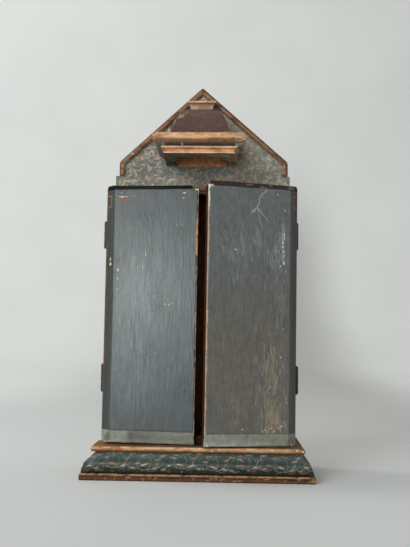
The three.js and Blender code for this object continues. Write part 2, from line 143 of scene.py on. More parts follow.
class Piece:
    """A mesh worked on in millimetres: worn, painted point by point, then given to its body."""

    def __init__(self, name, mesh):
        self.name = name
        self.mesh = mesh
        self.count = len(mesh.vertices)
        self.at = self.read("co", 3) / MM
        self.facing = self.read("normal", 3)
        self.colour = np.ones((self.count, 4))
        self.crazing = np.zeros((self.count, 4))

    def read(self, what, width):
        values = np.empty(self.count * width, np.float32)
        self.mesh.vertices.foreach_get(what, values)
        return values.reshape(-1, width).astype(float)

    def push(self, outwards):
        """Moves the points along the way they face."""
        self.at += self.facing * np.asarray(outwards)[:, None]

    def paint(self, colour, cover=1.0, gloss=0.0):
        """Lays a colour over the points, with how glossy it is; cover is from 0 to 1."""
        cover = np.broadcast_to(np.clip(cover, 0, 1), self.count)[:, None]
        shade = np.broadcast_to(colour, (self.count, 3))
        sheen = np.broadcast_to(gloss, self.count)[:, None]
        self.colour = self.colour * (1 - cover) + np.hstack([shade, sheen]) * cover

    def craze(self, colour, density):
        """Marks where fine upright cracks show, and their colour; density is from 0 to 1."""
        denser = np.asarray(density) > self.crazing[:, 3]
        self.crazing[denser, :3] = colour
        self.crazing[:, 3] = np.maximum(self.crazing[:, 3], density)

    def edges(self, rounds=3):
        """How far each point stands out from its neighbours: above 0 on a convex edge."""
        pairs = np.empty(len(self.mesh.edges) * 2, np.int32)
        self.mesh.edges.foreach_get("vertices", pairs)
        first, second = pairs.reshape(-1, 2).T
        neighbours = np.bincount(pairs, minlength=self.count)[:, None]
        eased = self.at.copy()
        for _ in range(rounds):
            total = np.zeros_like(eased)
            np.add.at(total, first, eased[second])
            np.add.at(total, second, eased[first])
            eased = total / neighbours
        return np.sum((self.at - eased) * self.facing, axis=1)

    def finish(self, body, slot, material, nodes=(), backs=None):
        self.mesh.vertices.foreach_set("co", (self.at * MM).astype(np.float32).ravel())
        for name, values in (("finish", self.colour), ("crazing", self.crazing)):
            attribute = self.mesh.color_attributes.new(name, "FLOAT_COLOR", "POINT")
            attribute.data.foreach_set("color", values.astype(np.float32).ravel())
        self.mesh.materials.clear()
        self.mesh.materials.append(material)
        if backs:
            self.mesh.materials.append(backs)
            self.mesh.polygons[-1].material_index = 1
            self.mesh.polygons[-1].use_smooth = False
        self.mesh.update()
        piece = bpy.data.objects.new(self.name, self.mesh)
        bpy.context.scene.collection.objects.link(piece)
        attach(piece, body)
        if nodes:
            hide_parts(*nodes)
        return piece


def make_mesh(name, points, faces, smooth_faces=True):
    """A mesh from points in millimetres, with its faces turned outwards."""
    mesh = bpy.data.meshes.new(name)
    mesh.from_pydata((np.asarray(points) * MM).tolist(), [], faces)
    mesh.validate()
    corners = np.asarray(points, float)
    volume = 0.0
    for face in faces:
        around = corners[list(face)]
        volume += (np.cross(around[1:-1], around[2:]) @ around[0]).sum()
    if volume < 0:
        mesh.flip_normals()
    mesh.polygons.foreach_set("use_smooth", [smooth_faces] * len(mesh.polygons))
    mesh.update()
    return mesh


def quads(rows, columns, start=0, wrap=False):
    """The faces of a grid of points, numbered row by row."""
    r, c = np.meshgrid(np.arange(rows - 1), np.arange(columns if wrap else columns - 1), indexing="ij")
    a = start + r * columns + c
    b = start + r * columns + (c + 1) % columns
    return np.stack([a, b, b + columns, a + columns], axis=-1).reshape(-1, 4).tolist()


def rings_body(name, rings):
    """A closed body through rings of points, each ring closed, with flat ends."""
    count, around = rings.shape[:2]
    faces = quads(count, around, wrap=True)
    last = (count - 1) * around
    faces.append(list(range(around))[::-1])
    faces.append(list(range(last, last + around)))
    return Piece(name, make_mesh(name, rings.reshape(-1, 3), faces))


def relief_body(name, front, back_y, levels=(0.08, 0.35, 0.65, 0.93)):
    """A closed board: a grid of front points, straight sides and a flat back at back_y."""
    rows, columns = front.shape[:2]
    order = np.arange(rows * columns).reshape(rows, columns)
    border = np.concatenate([order[0, :-1], order[:-1, -1], order[-1, :0:-1], order[:0:-1, 0]])
    points = [front.reshape(-1, 3)]
    faces = quads(rows, columns)
    start = rows * columns
    around = len(border)
    previous = border
    for level in (*levels, 1):
        ring = front.reshape(-1, 3)[border].copy()
        ring[:, 1] += (back_y - ring[:, 1]) * level
        points.append(ring)
        current = start + np.arange(around)
        start += around
        side = np.stack([previous, current, np.roll(current, -1), np.roll(previous, -1)], axis=1)
        faces += side.tolist()
        previous = current
    points.append(points[-1])
    faces.append((start + np.arange(around))[::-1].tolist())
    return Piece(name, make_mesh(name, np.concatenate(points), faces))


def remeshed(node, voxel):
    """An even, fine copy of a CAD node, with its edges very slightly eased."""
    copy = bpy.data.objects.new("copy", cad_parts[node].data.copy())
    bpy.context.scene.collection.objects.link(copy)
    modifier = copy.modifiers.new("remesh", "REMESH")
    modifier.mode = "VOXEL"
    modifier.voxel_size = voxel * MM
    modifier.use_smooth_shade = True
    bpy.context.view_layer.update()
    ready = copy.evaluated_get(bpy.context.evaluated_depsgraph_get())
    mesh = bpy.data.meshes.new_from_object(ready)
    bpy.data.objects.remove(copy)
    mesh.name = f"worn_{node}"
    return Piece(f"worn_{node}", mesh)


# Painted lines and leaves

def stroke(flat, line, widths, soft=0.3):
    """How much of each flat point a brush stroke covers, along a line with a half-width at each point."""
    line = np.asarray(line, float)
    widths = np.broadcast_to(widths, len(line))
    margin = widths.max() + soft
    near = np.all((flat > line.min(0) - margin) & (flat < line.max(0) + margin), axis=1)
    cover = np.zeros(len(flat))
    points = flat[near]
    best = np.zeros(len(points))
    for a, b, wide_a, wide_b in zip(line, line[1:], widths, widths[1:]):
        along = b - a
        t = np.clip((points - a) @ along / max(along @ along, 1e-9), 0, 1)
        away = np.linalg.norm(points - a - t[:, None] * along, axis=1)
        best = np.maximum(best, smooth(wide_a + (wide_b - wide_a) * t - away, -soft, soft))
    cover[near] = best
    return cover


def leaf(root, angle, length, curl=0.5, width=0.9, steps=8):
    """A comma-shaped leaf: its line and half-widths."""
    t = np.linspace(0, 1, steps)
    turn = angle + curl * (t - 0.3)
    step = length / (steps - 1)
    line = np.cumsum(np.stack([np.cos(turn), np.sin(turn)], axis=1) * step, axis=0) + root
    return line, width * np.sin(np.pi * np.clip(t, 0.04, 0.97)) ** 0.8


def spiral(centre, radius, turns, start, way, tightness=0.55):
    """A line that winds inwards."""
    t = np.linspace(0, 1, max(8, int(turns * 20)))
    reach = radius * (1 - tightness * t)
    angle = start + way * 2 * math.pi * turns * t
    return np.stack([np.cos(angle) * reach, np.sin(angle) * reach], axis=1) + centre


# Materials

class Shade:
    """A material's nodes, made by short calls."""

    def __init__(self, name):
        self.material = bpy.data.materials.new(name)
        self.material.use_nodes = True
        self.tree = self.material.node_tree
        self.shader = self.tree.nodes["Principled BSDF"]
        self.place = self.node("ShaderNodeTexCoord").outputs["Object"]

    def node(self, kind, settings=None, **links):
        made = self.tree.nodes.new(kind)
        for key, value in (settings or {}).items():
            setattr(made, key, value)
        for key, value in links.items():
            self.set(made.inputs[int(key[1:]) if key[1:].isdigit() else key], value)
        return made

    def set(self, socket, value):
        if isinstance(value, bpy.types.NodeSocket):
            self.tree.links.new(value, socket)
        else:
            socket.default_value = value

    def stretched(self, scale):
        return self.node("ShaderNodeMapping", Vector=self.place, Scale=scale).outputs[0]

    def noise(self, scale, detail=3.0):
        """Random values; scale is grains in a metre along each axis."""
        made = self.node("ShaderNodeTexNoise", Vector=self.stretched(scale), Scale=1.0, Detail=detail)
        return made.outputs[0]

    def fit(self, value, low, high, to_low=0.0, to_high=1.0):
        made = self.node(
            "ShaderNodeMapRange", {"interpolation_type": "SMOOTHSTEP"},
            i0=value, i1=low, i2=high, i3=to_low, i4=to_high,
        )
        return made.outputs[0]

    def math(self, operation, first, second):
        return self.node("ShaderNodeMath", {"operation": operation}, i0=first, i1=second).outputs[0]

    def mix(self, share, first, second, blend="MIX"):
        made = self.node("ShaderNodeMix", {"data_type": "RGBA", "blend_type": blend}, i0=share)
        self.set(made.inputs[6], first)
        self.set(made.inputs[7], second)
        return made.outputs[2]

    def bump(self, height, distance, strength=1.0, normal=None):
        made = self.node("ShaderNodeBump", Height=height, Distance=distance, Strength=strength)
        if normal:
            self.set(made.inputs["Normal"], normal)
        return made.outputs[0]


def rgba(colour):
    return (*[float(value) for value in colour], 1.0)


def finish_material(
    name, roughness=0.4, raw_roughness=0.8, metal=0.0, fibre=(700, 700, 700), fibre_depth=0.05,
    crack_size=0.0, crack_share=0.5, specks=0.0, coat=0.0,
):
    """A hand-laid finish: colours and gloss come point by point, and fine grain, cracks and specks
    from nodes. metal is how metallic the glossy places are."""
    shade = Shade(name)
    attribute = shade.node("ShaderNodeAttribute", {"attribute_name": "finish"})
    colour, gloss = attribute.outputs["Color"], attribute.outputs["Alpha"]
    fibres = shade.noise(fibre, 4.0)
    mottle = shade.noise((180, 180, 180), 4.0)
    tone = shade.math("ADD", shade.fit(fibres, 0.3, 0.7, -0.16, 0.16), shade.fit(mottle, 0.3, 0.7, 0.88, 1.12))
    tint = shade.node("ShaderNodeCombineXYZ", i0=tone, i1=tone, i2=tone).outputs[0]
    base = shade.mix(1.0, colour, tint, "MULTIPLY")
    height = shade.math("MULTIPLY", fibres, fibre_depth)
    if crack_size:
        cells = shade.node(
            "ShaderNodeTexVoronoi", {"feature": "DISTANCE_TO_EDGE"},
            Vector=shade.stretched((1 / crack_size / MM, 1 / crack_size / MM, 0.3 / crack_size / MM)), Scale=1.0,
        ).outputs["Distance"]
        where = shade.fit(shade.noise((35, 35, 22), 3.0), crack_share, crack_share + 0.12)
        crack = shade.math("MULTIPLY", shade.fit(cells, 0.0, 0.05, 1.0, 0.0), where)
        base = shade.mix(shade.math("MULTIPLY", crack, 0.4), base, rgba(srgb(25, 22, 20)))
        height = shade.math("SUBTRACT", height, shade.math("MULTIPLY", crack, fibre_depth))
    if specks:
        fine = shade.noise((1500, 1500, 900), 2.0)
        spots = shade.fit(fine, 0.70, 0.76, 0.0, specks)
        base = shade.mix(spots, base, rgba(srgb(170, 158, 138)))
    craze = shade.node("ShaderNodeAttribute", {"attribute_name": "crazing"})
    density = craze.outputs["Alpha"]
    off_thread = shade.math("ABSOLUTE", shade.math("SUBTRACT", shade.noise((1300, 1300, 55), 3.0), 0.5), 0.0)
    level = shade.math("ADD", shade.noise((520, 520, 120), 5.0), shade.math("MULTIPLY", density, 0.19))
    broken = shade.math("MULTIPLY", shade.fit(level, 0.6, 0.72), shade.fit(density, 0.02, 0.3))
    thread = shade.math("MULTIPLY", shade.fit(off_thread, 0.01, 0.06, 0.85, 0.0), broken)
    base = shade.mix(thread, base, craze.outputs["Color"])
    shade.set(shade.shader.inputs["Base Color"], base)
    rough = shade.fit(gloss, 0.0, 1.0, raw_roughness, roughness)
    rough = shade.math("ADD", rough, shade.fit(mottle, 0.3, 0.7, -0.05, 0.07))
    shade.set(shade.shader.inputs["Roughness"], rough)
    shade.set(shade.shader.inputs["Specular IOR Level"], shade.fit(gloss, 0.0, 0.5, 0.12, 0.5))
    if metal:
        shade.set(shade.shader.inputs["Metallic"], shade.math("MULTIPLY", gloss, metal))
    if coat:
        shade.set(shade.shader.inputs["Coat Weight"], shade.math("MULTIPLY", gloss, coat))
        shade.shader.inputs["Coat Roughness"].default_value = 0.3
    shade.set(shade.shader.inputs["Normal"], shade.bump(height, 0.004))
    return shade.material


def wood_material(name, light, dark, roughness=0.75, along=(300, 300, 25)):
    """Old bare wood, with its grain along one axis."""
    shade = Shade(name)
    fibres = shade.noise(along, 6.0)
    rings = shade.noise(tuple(value * 0.25 for value in along), 3.0)
    both = shade.math("ADD", shade.math("MULTIPLY", fibres, 0.6), shade.math("MULTIPLY", rings, 0.4))
    base = shade.mix(shade.fit(both, 0.40, 0.60), rgba(dark), rgba(light))
    dust = shade.fit(shade.noise((60, 60, 60), 5.0), 0.5, 0.75, 0.0, 0.35)
    base = shade.mix(dust, base, rgba(srgb(120, 108, 92)))
    shade.set(shade.shader.inputs["Base Color"], base)
    shade.set(shade.shader.inputs["Roughness"], shade.fit(fibres, 0.3, 0.7, roughness - 0.08, roughness + 0.1))
    shade.set(shade.shader.inputs["Normal"], shade.bump(fibres, 0.0006, 0.5))
    return shade.material


def iron_material():
    """Rusted iron, painted over with the doors."""
    shade = Shade("iron")
    rust = shade.fit(shade.noise((500, 500, 400), 5.0), 0.4, 0.65)
    base = shade.mix(rust, rgba(srgb(52, 56, 54)), rgba(srgb(76, 64, 54)))
    shade.set(shade.shader.inputs["Base Color"], base)
    shade.set(shade.shader.inputs["Metallic"], shade.fit(rust, 0.0, 1.0, 0.3, 0.0))
    shade.set(shade.shader.inputs["Roughness"], shade.fit(rust, 0.0, 1.0, 0.45, 0.85))
    pits = shade.noise((1500, 1500, 1500), 3.0)
    shade.set(shade.shader.inputs["Normal"], shade.bump(pits, 0.0003, 0.6))
    return shade.material


FINE_STREAKS = (1100, 1100, 70)
MATERIALS = {
    "doors": finish_material(
        "door_paint", roughness=0.4, fibre=FINE_STREAKS, fibre_depth=0.06, crack_size=2.2,
        crack_share=0.55, specks=0.1, coat=1.0,
    ),
    "case": finish_material("case_paint", roughness=0.45, fibre=FINE_STREAKS, crack_size=3, specks=0.2),
    "teal": finish_material("teal_paint", roughness=0.5, fibre=(900, 900, 900), crack_size=2.5, specks=0.25),
    "red": finish_material("red_brown_paint", roughness=0.5, fibre=(900, 900, 900), crack_size=3, specks=0.15),
    "gilt": finish_material("worn_gilding", roughness=0.38, metal=0.45, fibre=(800, 800, 800), specks=0.3),
    "inside": wood_material("door_backs", srgb(96, 64, 46), srgb(56, 37, 27)),
    "back": wood_material("board_back", srgb(106, 80, 58), srgb(66, 47, 34)),
    "floor": wood_material("case_floor_wood", srgb(96, 66, 44), srgb(48, 32, 22), along=(25, 300, 300)),
    "iron": iron_material(),
}

RAW_WOOD = srgb(112, 78, 54)
DARK_WOOD = srgb(48, 30, 20)
GESSO = srgb(225, 215, 196)
TAN = srgb(196, 150, 106)
BOLE = srgb(110, 58, 36)
GOLD = srgb(208, 160, 116)
PALE_GOLD = srgb(240, 208, 172)


# Doors

def to_door(at, side):
    """Points of the CAD frame as a door has them: across from its hinge axis, outwards, and up."""
    turn = DOOR_ANGLE[side] * DOOR_SIDE[side]
    x = at[:, 0] - DOOR_SIDE[side] * HINGE_X
    y = at[:, 1] - HINGE_Y
    across = -DOOR_SIDE[side] * (x * math.cos(turn) + y * math.sin(turn))
    outwards = x * math.sin(turn) - y * math.cos(turn)
    return across, outwards, at[:, 2]


def from_door(across, outwards, up, side):
    turn = DOOR_ANGLE[side] * DOOR_SIDE[side]
    x, y = -DOOR_SIDE[side] * across, -outwards
    return np.stack([
        x * math.cos(turn) - y * math.sin(turn) + DOOR_SIDE[side] * HINGE_X,
        x * math.sin(turn) + y * math.cos(turn) + HINGE_Y,
        up,
    ], axis=-1)


# Losses at the doors' inner top corners: how much of the height is gone, across from the inner edge
def corner_loss(across, side):
    inwards = DOOR_INNER - across
    if side == "left":
        return 4.4 * (1 - smooth(inwards, 6.6, 7.2)) - 0.9 * (1 - smooth(inwards, 1.5, 2.6))
    return 3.6 * (1 - smooth(inwards, 0.0, 5.4))


def skew(across, up, side):
    """How far a place on a door stands off square, across and up."""
    inner = np.clip((across - DOOR_EDGE) / DOOR_WIDTH, 0, 1)
    top = np.clip((up - DOOR_BOTTOM) / (DOOR_TOP - DOOR_BOTTOM), 0, 1)
    corners = DOOR_SKEW[side]
    shares = {
        "outer top": (1 - inner) * top, "inner top": inner * top,
        "outer low": (1 - inner) * (1 - top), "inner low": inner * (1 - top),
    }
    aside = sum(corners[corner][0] * share for corner, share in shares.items())
    upwards = sum(corners[corner][1] * share for corner, share in shares.items())
    return aside, upwards


def door_front(side):
    """The grid of a door's front: a raised field, bevelled on three sides, with broken corners."""
    inner = DOOR_INNER
    keys = (DOOR_EDGE + 0.4, DOOR_EDGE + 1.1, DOOR_EDGE + OUTER_BEVEL - 0.25, DOOR_EDGE + OUTER_BEVEL + 0.25)
    across = spaced(DOOR_EDGE, inner, 0.62, (*keys, inner - 1.4, inner - 0.8, inner - 0.3))
    top_keys = (DOOR_TOP - 0.4, DOOR_TOP - 1.1, DOOR_TOP - TOP_BEVEL - 0.25, DOOR_TOP - TOP_BEVEL + 0.25)
    low_field = DOOR_BOTTOM + BOTTOM_BEVEL
    low_keys = (DOOR_BOTTOM + 0.4, DOOR_BOTTOM + 1.1, low_field - 0.25, low_field + 0.25)
    heights = spaced(DOOR_BOTTOM, DOOR_TOP, 0.66, (*top_keys, *low_keys))
    up, a = np.meshgrid(heights, across, indexing="ij")
    band = 12
    share = np.clip((up - (DOOR_TOP - band)) / band, 0, 1)
    up = up - share * corner_loss(a, side)
    for low in (True, False):
        dx = DOOR_EDGE + DOOR_CORNER - a
        dz = (DOOR_BOTTOM + DOOR_CORNER - up) if low else (up - (DOOR_TOP - DOOR_CORNER))
        inside = (dx > 0) & (dz > 0)
        shrink = np.where(inside, np.maximum(dx, dz) / np.maximum(np.hypot(dx, dz), 1e-6), 1)
        a = np.where(inside, DOOR_EDGE + DOOR_CORNER - dx * shrink, a)
        moved = DOOR_BOTTOM + DOOR_CORNER - dz * shrink if low else DOOR_TOP - DOOR_CORNER + dz * shrink
        up = np.where(inside, moved, up)
    rise = np.minimum.reduce([
        np.ones_like(a), (a - DOOR_EDGE) / OUTER_BEVEL, (DOOR_TOP - up) / TOP_BEVEL,
        (up - DOOR_BOTTOM) / BOTTOM_BEVEL,
    ])
    depth = DOOR_RIM + (DOOR_THICKNESS - DOOR_RIM) * np.clip(rise, 0, 1)
    sides = np.minimum.reduce([a - DOOR_EDGE, DOOR_TOP - up, up - DOOR_BOTTOM])
    depth -= 0.7 * (1 - smooth(sides, -0.1, 1.2))
    flat = np.stack([a.ravel(), up.ravel(), np.zeros(a.size)], axis=1)
    jag = grain(flat, (2.5, 5, 1), 11).reshape(a.shape)
    depth -= (0.35 + 1.6 * smooth(jag, 0.55, 0.8)) * (1 - smooth(inner - a, 0.0, 0.4 + 1.6 * jag))
    aside, upwards = skew(a, up, side)
    if side == "right":
        inner_share = np.clip((a - DOOR_EDGE) / DOOR_WIDTH, 0, 1)
        upwards = upwards + (0.9 + 0.9 * inner_share) * smooth(up, DOOR_TOP - TOP_BEVEL, DOOR_TOP)
    return a + aside, depth, up + upwards


def door_streaks(flat, side):
    """Fine upright ridges in the old paint."""
    ridges = 1 - np.abs(grain(flat, (1.8, 26, 1), 21 if side == "left" else 22, 3) * 2 - 1)
    return smooth(ridges, 0.72, 0.98)


def soft_spot(flat, at, size):
    """1 at a place and fading over the size, across and up."""
    away = (flat[:, 0] - at[0]) ** 2 / size[0] ** 2 + (flat[:, 1] - at[1]) ** 2 / size[1] ** 2
    return np.exp(-away)


def dab(piece, flat, at, size, colour, seed, gloss=0.0):
    """A small ragged chip of colour at a place."""
    ragged = soft_spot(flat, at, size) + 0.6 * (grain(np.c_[flat, flat[:, 0] * 0], 1.3, seed) - 0.5)
    cover = smooth(ragged, 0.42, 0.6)
    piece.paint(colour, cover, gloss)
    return cover


def hairlines(piece, flat, at, reach, count, lengths, seed):
    """How much fine upright cracks cover, scattered round a place."""
    random = np.random.default_rng(seed)
    cover = np.zeros(piece.count)
    for number in range(count):
        across, up = at + np.array(reach) * random.normal(0, 0.55, 2)
        length, strength = random.uniform(*lengths), random.uniform(0.25, 1)
        drift = np.cumsum(random.normal(0, 0.22, 4))
        line = [(across + aside, up - length * step / 3) for step, aside in enumerate(drift)]
        near = np.abs(flat[:, 0] - across) < 3
        near &= np.abs(flat[:, 1] - up + length / 2) < length
        if near.any():
            mark = strength * stroke(flat[near], line, 0.1, 0.5)
            cover[near] = np.maximum(cover[near], mark)
    return cover


LEFT_CHIPS = [
    ((15.4, 275.9), (1.4, 0.6)), ((18.4, 275.8), (2.2, 0.9)), ((22.6, 275.9), (1.6, 0.7)), ((30.5, 276.0), (0.8, 0.6)),
    ((17.7, 279.6), (0.6, 0.6)), ((73.6, 247.5), (0.7, 0.5)), ((78.5, 247.5), (0.7, 0.5)), ((63.3, 168.8), (0.8, 0.8)),
    ((66.8, 168.3), (0.7, 0.9)), ((70.3, 169.4), (0.7, 0.5)), ((40.4, 204.6), (0.6, 1.6)), ((42.9, 217.7), (0.4, 1.8)),
    ((33.5, 241.8), (0.6, 0.8)), ((79.8, 274.5), (1.4, 0.4)), ((81.0, 279.7), (1.8, 0.5)), ((15.2, 193.7), (1.4, 1.8)),
    ((15.8, 202.4), (1.1, 2.0)), ((15.4, 183.5), (0.5, 1.4)), ((7.3, 213.4), (0.8, 2.2)), ((7.4, 208.4), (1.0, 2.0)),
    ((93.6, 284.0), (2.6, 1.4)), ((12.6, 43.5), (0.8, 0.8)), ((5.2, 33.6), (2.4, 1.2)), ((9.4, 34.0), (2.2, 0.8)),
]
RIGHT_CHIPS = [
    ((19.1, 230.4), (0.6, 1.3)), ((18.9, 226.1), (0.7, 1.2)), ((17.8, 217.1), (0.6, 1.0)), ((17.8, 209.8), (0.9, 2.0)),
    ((20.8, 118.0), (0.7, 0.7)), ((18.6, 145.6), (0.6, 0.6)), ((14.8, 74.2), (0.5, 0.8)), ((19.8, 51.9), (0.9, 1.2)),
    ((58.3, 49.6), (0.7, 0.9)), ((31.0, 89.7), (0.5, 0.9)), ((7.7, 32.9), (1.4, 1.0)), ((91.6, 34.0), (1.6, 2.2)),
    ((24.0, 278.0), (0.5, 0.9)), ((31.0, 50.0), (0.9, 0.6)), ((36.0, 49.0), (0.8, 0.5)), ((27.0, 47.6), (0.9, 0.6)),
    ((17.2, 238.0), (0.4, 2.0)), ((16.4, 262.0), (0.4, 1.4)), ((18.2, 221.4), (0.8, 1.6)), ((17.3, 234.0), (0.5, 1.2)),
    ((66.4, 222.0), (0.7, 1.0)), ((21.4, 207.0), (0.5, 0.9)), ((38.0, 47.0), (0.6, 0.7)), ((23.0, 50.6), (0.6, 0.7)),
]
RIGHT_CRACKS = [
    [(35.6, 281.2), (40.5, 278.1), (42.9, 273.7), (43.9, 266.9), (45.3, 263.9), (50.2, 259.5)],
    [(45.3, 263.9), (42.3, 261.2), (38.5, 256.6), (34.5, 251.9)],
    [(44.4, 262.9), (43.3, 256.4), (42.3, 250.7), (39.3, 245.0)],
    [(40.5, 278.1), (38.6, 274.4)],
]
# Where the right door's paint has crazed: the middle, the reach, how many cracks, and how strongly
RIGHT_CRAZING = [
    ((76.0, 228), (5.0, 18), 26, 0.7), ((69.0, 222), (5.0, 20), 30, 0.75), ((60.0, 224), (7.0, 24), 44, 0.75),
    ((45.5, 232), (6.0, 13), 30, 0.85), ((24.0, 226), (9.0, 22), 90, 0.85), ((18.6, 232), (1.6, 20), 30, 1.0),
    ((58.5, 192), (2.5, 14), 12, 0.4), ((31.0, 98), (14.0, 44), 210, 0.75), ((28.0, 58), (10.0, 14), 120, 1.0),
    ((66.0, 66), (6.0, 18), 30, 0.5), ((20.5, 180), (5.0, 30), 44, 0.55), ((50.0, 84), (24.0, 40), 60, 0.35),
]


def paint_door(piece, side):
    across, outwards, up = to_door(piece.at, side)
    flat = np.c_[across, up]
    place = np.c_[across, up, outwards]
    aside, upwards = skew(across, up, side)
    square_across, square_up = across - aside, up - upwards
    square = np.c_[square_across, square_up]
    cloud = grain(place, (34, 60, 30), 31 if side == "left" else 32)
    streaks = door_streaks(np.c_[across, up, across * 0], side)
    if side == "left":
        base = np.outer(0.86 + 0.28 * cloud, srgb(57, 68, 68))
        # Painted sheen: soft lighter spots, combed with fine upright streaks, where the reflection of the light falls
        # on this door
        painted_sheen = soft_spot(flat, (36, 180), (22, 46)) + 0.7 * soft_spot(flat, (28, 112), (24, 48))
        painted_sheen += 0.45 * soft_spot(flat, (68, 196), (30, 60))
        piece.paint(base, 1, 0.8 + 0.2 * cloud)
        comb = smooth(grain(np.c_[across, up, across * 0], (1.5, 22, 1), 24, 3), 0.36, 0.64)
        fleck = smooth(grain(np.c_[across, up, across * 0], (2.0, 5.0, 1), 25, 2), 0.45, 0.75)
        piece.paint(srgb(120, 130, 131), 0.10 * streaks + painted_sheen * (0.06 + 0.34 * comb * (0.4 + 0.6 * fleck)), 0.95)
        # Darker towards the top and towards the bottom of the field
        piece.paint(srgb(46, 53, 54), 0.42 * smooth(up, 232, 284) * (1 - 0.5 * cloud), 0.8)
        piece.paint(srgb(48, 54, 53), 0.35 * smooth(up, 96, 48) * (1 - 0.4 * comb), 0.8)
        # Crazing and light upright hairlines gather in the painted sheen: fine cracks, lit up as painted sheen
        piece.craze(srgb(140, 150, 151), 0.16 * np.clip(painted_sheen, 0, 1) * (across > 12))
        for at, reach, count, strength in (
            ((34, 188), (20, 34), 330, 0.5), ((30, 112), (22, 40), 190, 0.34), ((66, 190), (18, 50), 130, 0.28),
        ):
            combed = hairlines(piece, flat, at, reach, count, (6, 24), 410 + count)
            piece.paint(srgb(150, 164, 162), strength * combed * (across > 12), 0.9)
        top_line = stroke(flat, [(14, 275.9), (50, 276.3), (90, 275.6)], 0.2, 0.4)
        piece.paint(srgb(128, 136, 138), 0.3 * top_line * smooth(cloud, 0.3, 0.6), 0.6)
    else:
        browner = smooth(up, 245, 130) * (0.6 + 0.4 * cloud)
        cool, warm = srgb(85, 91, 92), srgb(88, 82, 71)
        piece.paint(cool * (1 - browner[:, None]) + warm * browner[:, None], 1, 0.7 + 0.3 * cloud)
        piece.paint(srgb(120, 122, 116), 0.12 * streaks, 0.5)
        for number, (at, reach, count, strength) in enumerate(RIGHT_CRAZING):
            warmth = smooth(at[1], 150, 90)
            colour = srgb(168, 178, 172) * (1 - warmth) + srgb(196, 172, 132) * warmth
            cracks = hairlines(piece, flat, at, reach, count, (1.5, 9), 430 + number)
            piece.paint(colour, strength * cracks * (across > 12), 0.2)
            if reach[0] > 3:
                piece.craze(colour, 0.12 * strength * smooth(soft_spot(flat, at, reach), 0.15, 0.75))
        for number, line in enumerate(RIGHT_CRACKS):
            wander = (grain(np.c_[flat, across * 0], 2.5, 50 + number) - 0.5)[:, None]
            thin = 0.18 + 0.2 / (number + 1)
            cover = stroke(flat + wander * 1.6, line, thin, 0.4)
            piece.paint(srgb(178, 184, 178), (0.9 - 0.12 * number) * cover, 0.2)
        line_along = stroke(flat, [(15.8, 214), (16.4, 154), (16.8, 56)], 0.15, 0.35)
        piece.paint(srgb(140, 146, 138), 0.5 * line_along * smooth(cloud, 0.25, 0.55), 0.4)

    # Bevels: olive at the outer rim, deepened there with painted shade; painted shade on the top bevel and a painted
    # reflection on the bottom bevel; and a worn line along the edges of the field
    outer = square_across - DOOR_EDGE
    bevel = 1 - smooth(outer, OUTER_BEVEL - 0.6, OUTER_BEVEL)
    top_bevel = smooth(square_up, DOOR_TOP - TOP_BEVEL - 0.3, DOOR_TOP - TOP_BEVEL + 0.4)
    low_bevel = 1 - smooth(square_up, DOOR_BOTTOM + BOTTOM_BEVEL - 0.8, DOOR_BOTTOM + BOTTOM_BEVEL - 0.2)
    # The outer bevel: olive paint, darker towards the rim as painted shade
    piece.paint(srgb(44, 50, 46), 0.9 * bevel, 0.55)
    piece.paint(srgb(42, 40, 32), 0.7 * bevel * (1 - smooth(outer, 3.5, 6.5)), 0.5)
    rubbed_rim = bevel * (1 - smooth(outer, 1.4, 3.4)) * smooth(grain(place, (4, 14, 4), 68), 0.35, 0.6)
    piece.paint(srgb(104, 80, 64), 0.6 * rubbed_rim, 0.1)
    # The top bevel is painted dark: painted shade
    top_shade = srgb(18, 18, 15) if side == "left" else srgb(50, 42, 36)
    piece.paint(top_shade, 0.97 * top_bevel, 0.0)
    patchy = grain(place, (9, 8, 6), 61)
    # The bottom bevel is painted light and patchy, lighter towards its edge: a painted reflection of the pale floor
    low_bevel_reflection = (0.65 + 0.45 * patchy) * (1 + 0.55 * smooth(square_up, DOOR_BOTTOM + 7, DOOR_BOTTOM))
    if side == "left":
        low_bevel_reflection *= 1.25 - 0.5 * smooth(across, 25, 31) * smooth(across, 60, 34) - 0.3 * smooth(across, 34, 60)
    piece.paint(np.outer(low_bevel_reflection, srgb(160, 163, 150)), 0.92 * low_bevel * (1 - 0.35 * bevel), 0.35)
    field_line = stroke(square, [
        (DOOR_EDGE + OUTER_BEVEL, DOOR_BOTTOM + BOTTOM_BEVEL),
        (DOOR_EDGE + OUTER_BEVEL, DOOR_TOP - TOP_BEVEL), (DOOR_INNER, DOOR_TOP - TOP_BEVEL),
    ], 0.25, 0.35)
    piece.paint(srgb(132, 138, 134), 0.45 * field_line * smooth(patchy, 0.25, 0.6), 0.4)
    low_line = stroke(square, [
        (DOOR_EDGE + 1.5, DOOR_BOTTOM + 2), (DOOR_EDGE + OUTER_BEVEL - 0.2, DOOR_BOTTOM + BOTTOM_BEVEL - 0.6),
        (DOOR_INNER, DOOR_BOTTOM + BOTTOM_BEVEL - 0.6),
    ], 0.3, 0.3)
    piece.paint(srgb(44, 50, 44), 0.6 * low_line, 0.5)
    if side == "right":
        rubbed_top = top_bevel * smooth(grain(place, (5, 3, 3), 73), 0.5, 0.68)
        piece.paint(srgb(128, 110, 94), 0.55 * rubbed_top, 0.1)
    low_rim = 1 - smooth(square_up, DOOR_BOTTOM + 0.2, DOOR_BOTTOM + 1.1)
    piece.paint(srgb(150, 128, 108), low_rim * smooth(patchy, 0.35, 0.6), 0.1)

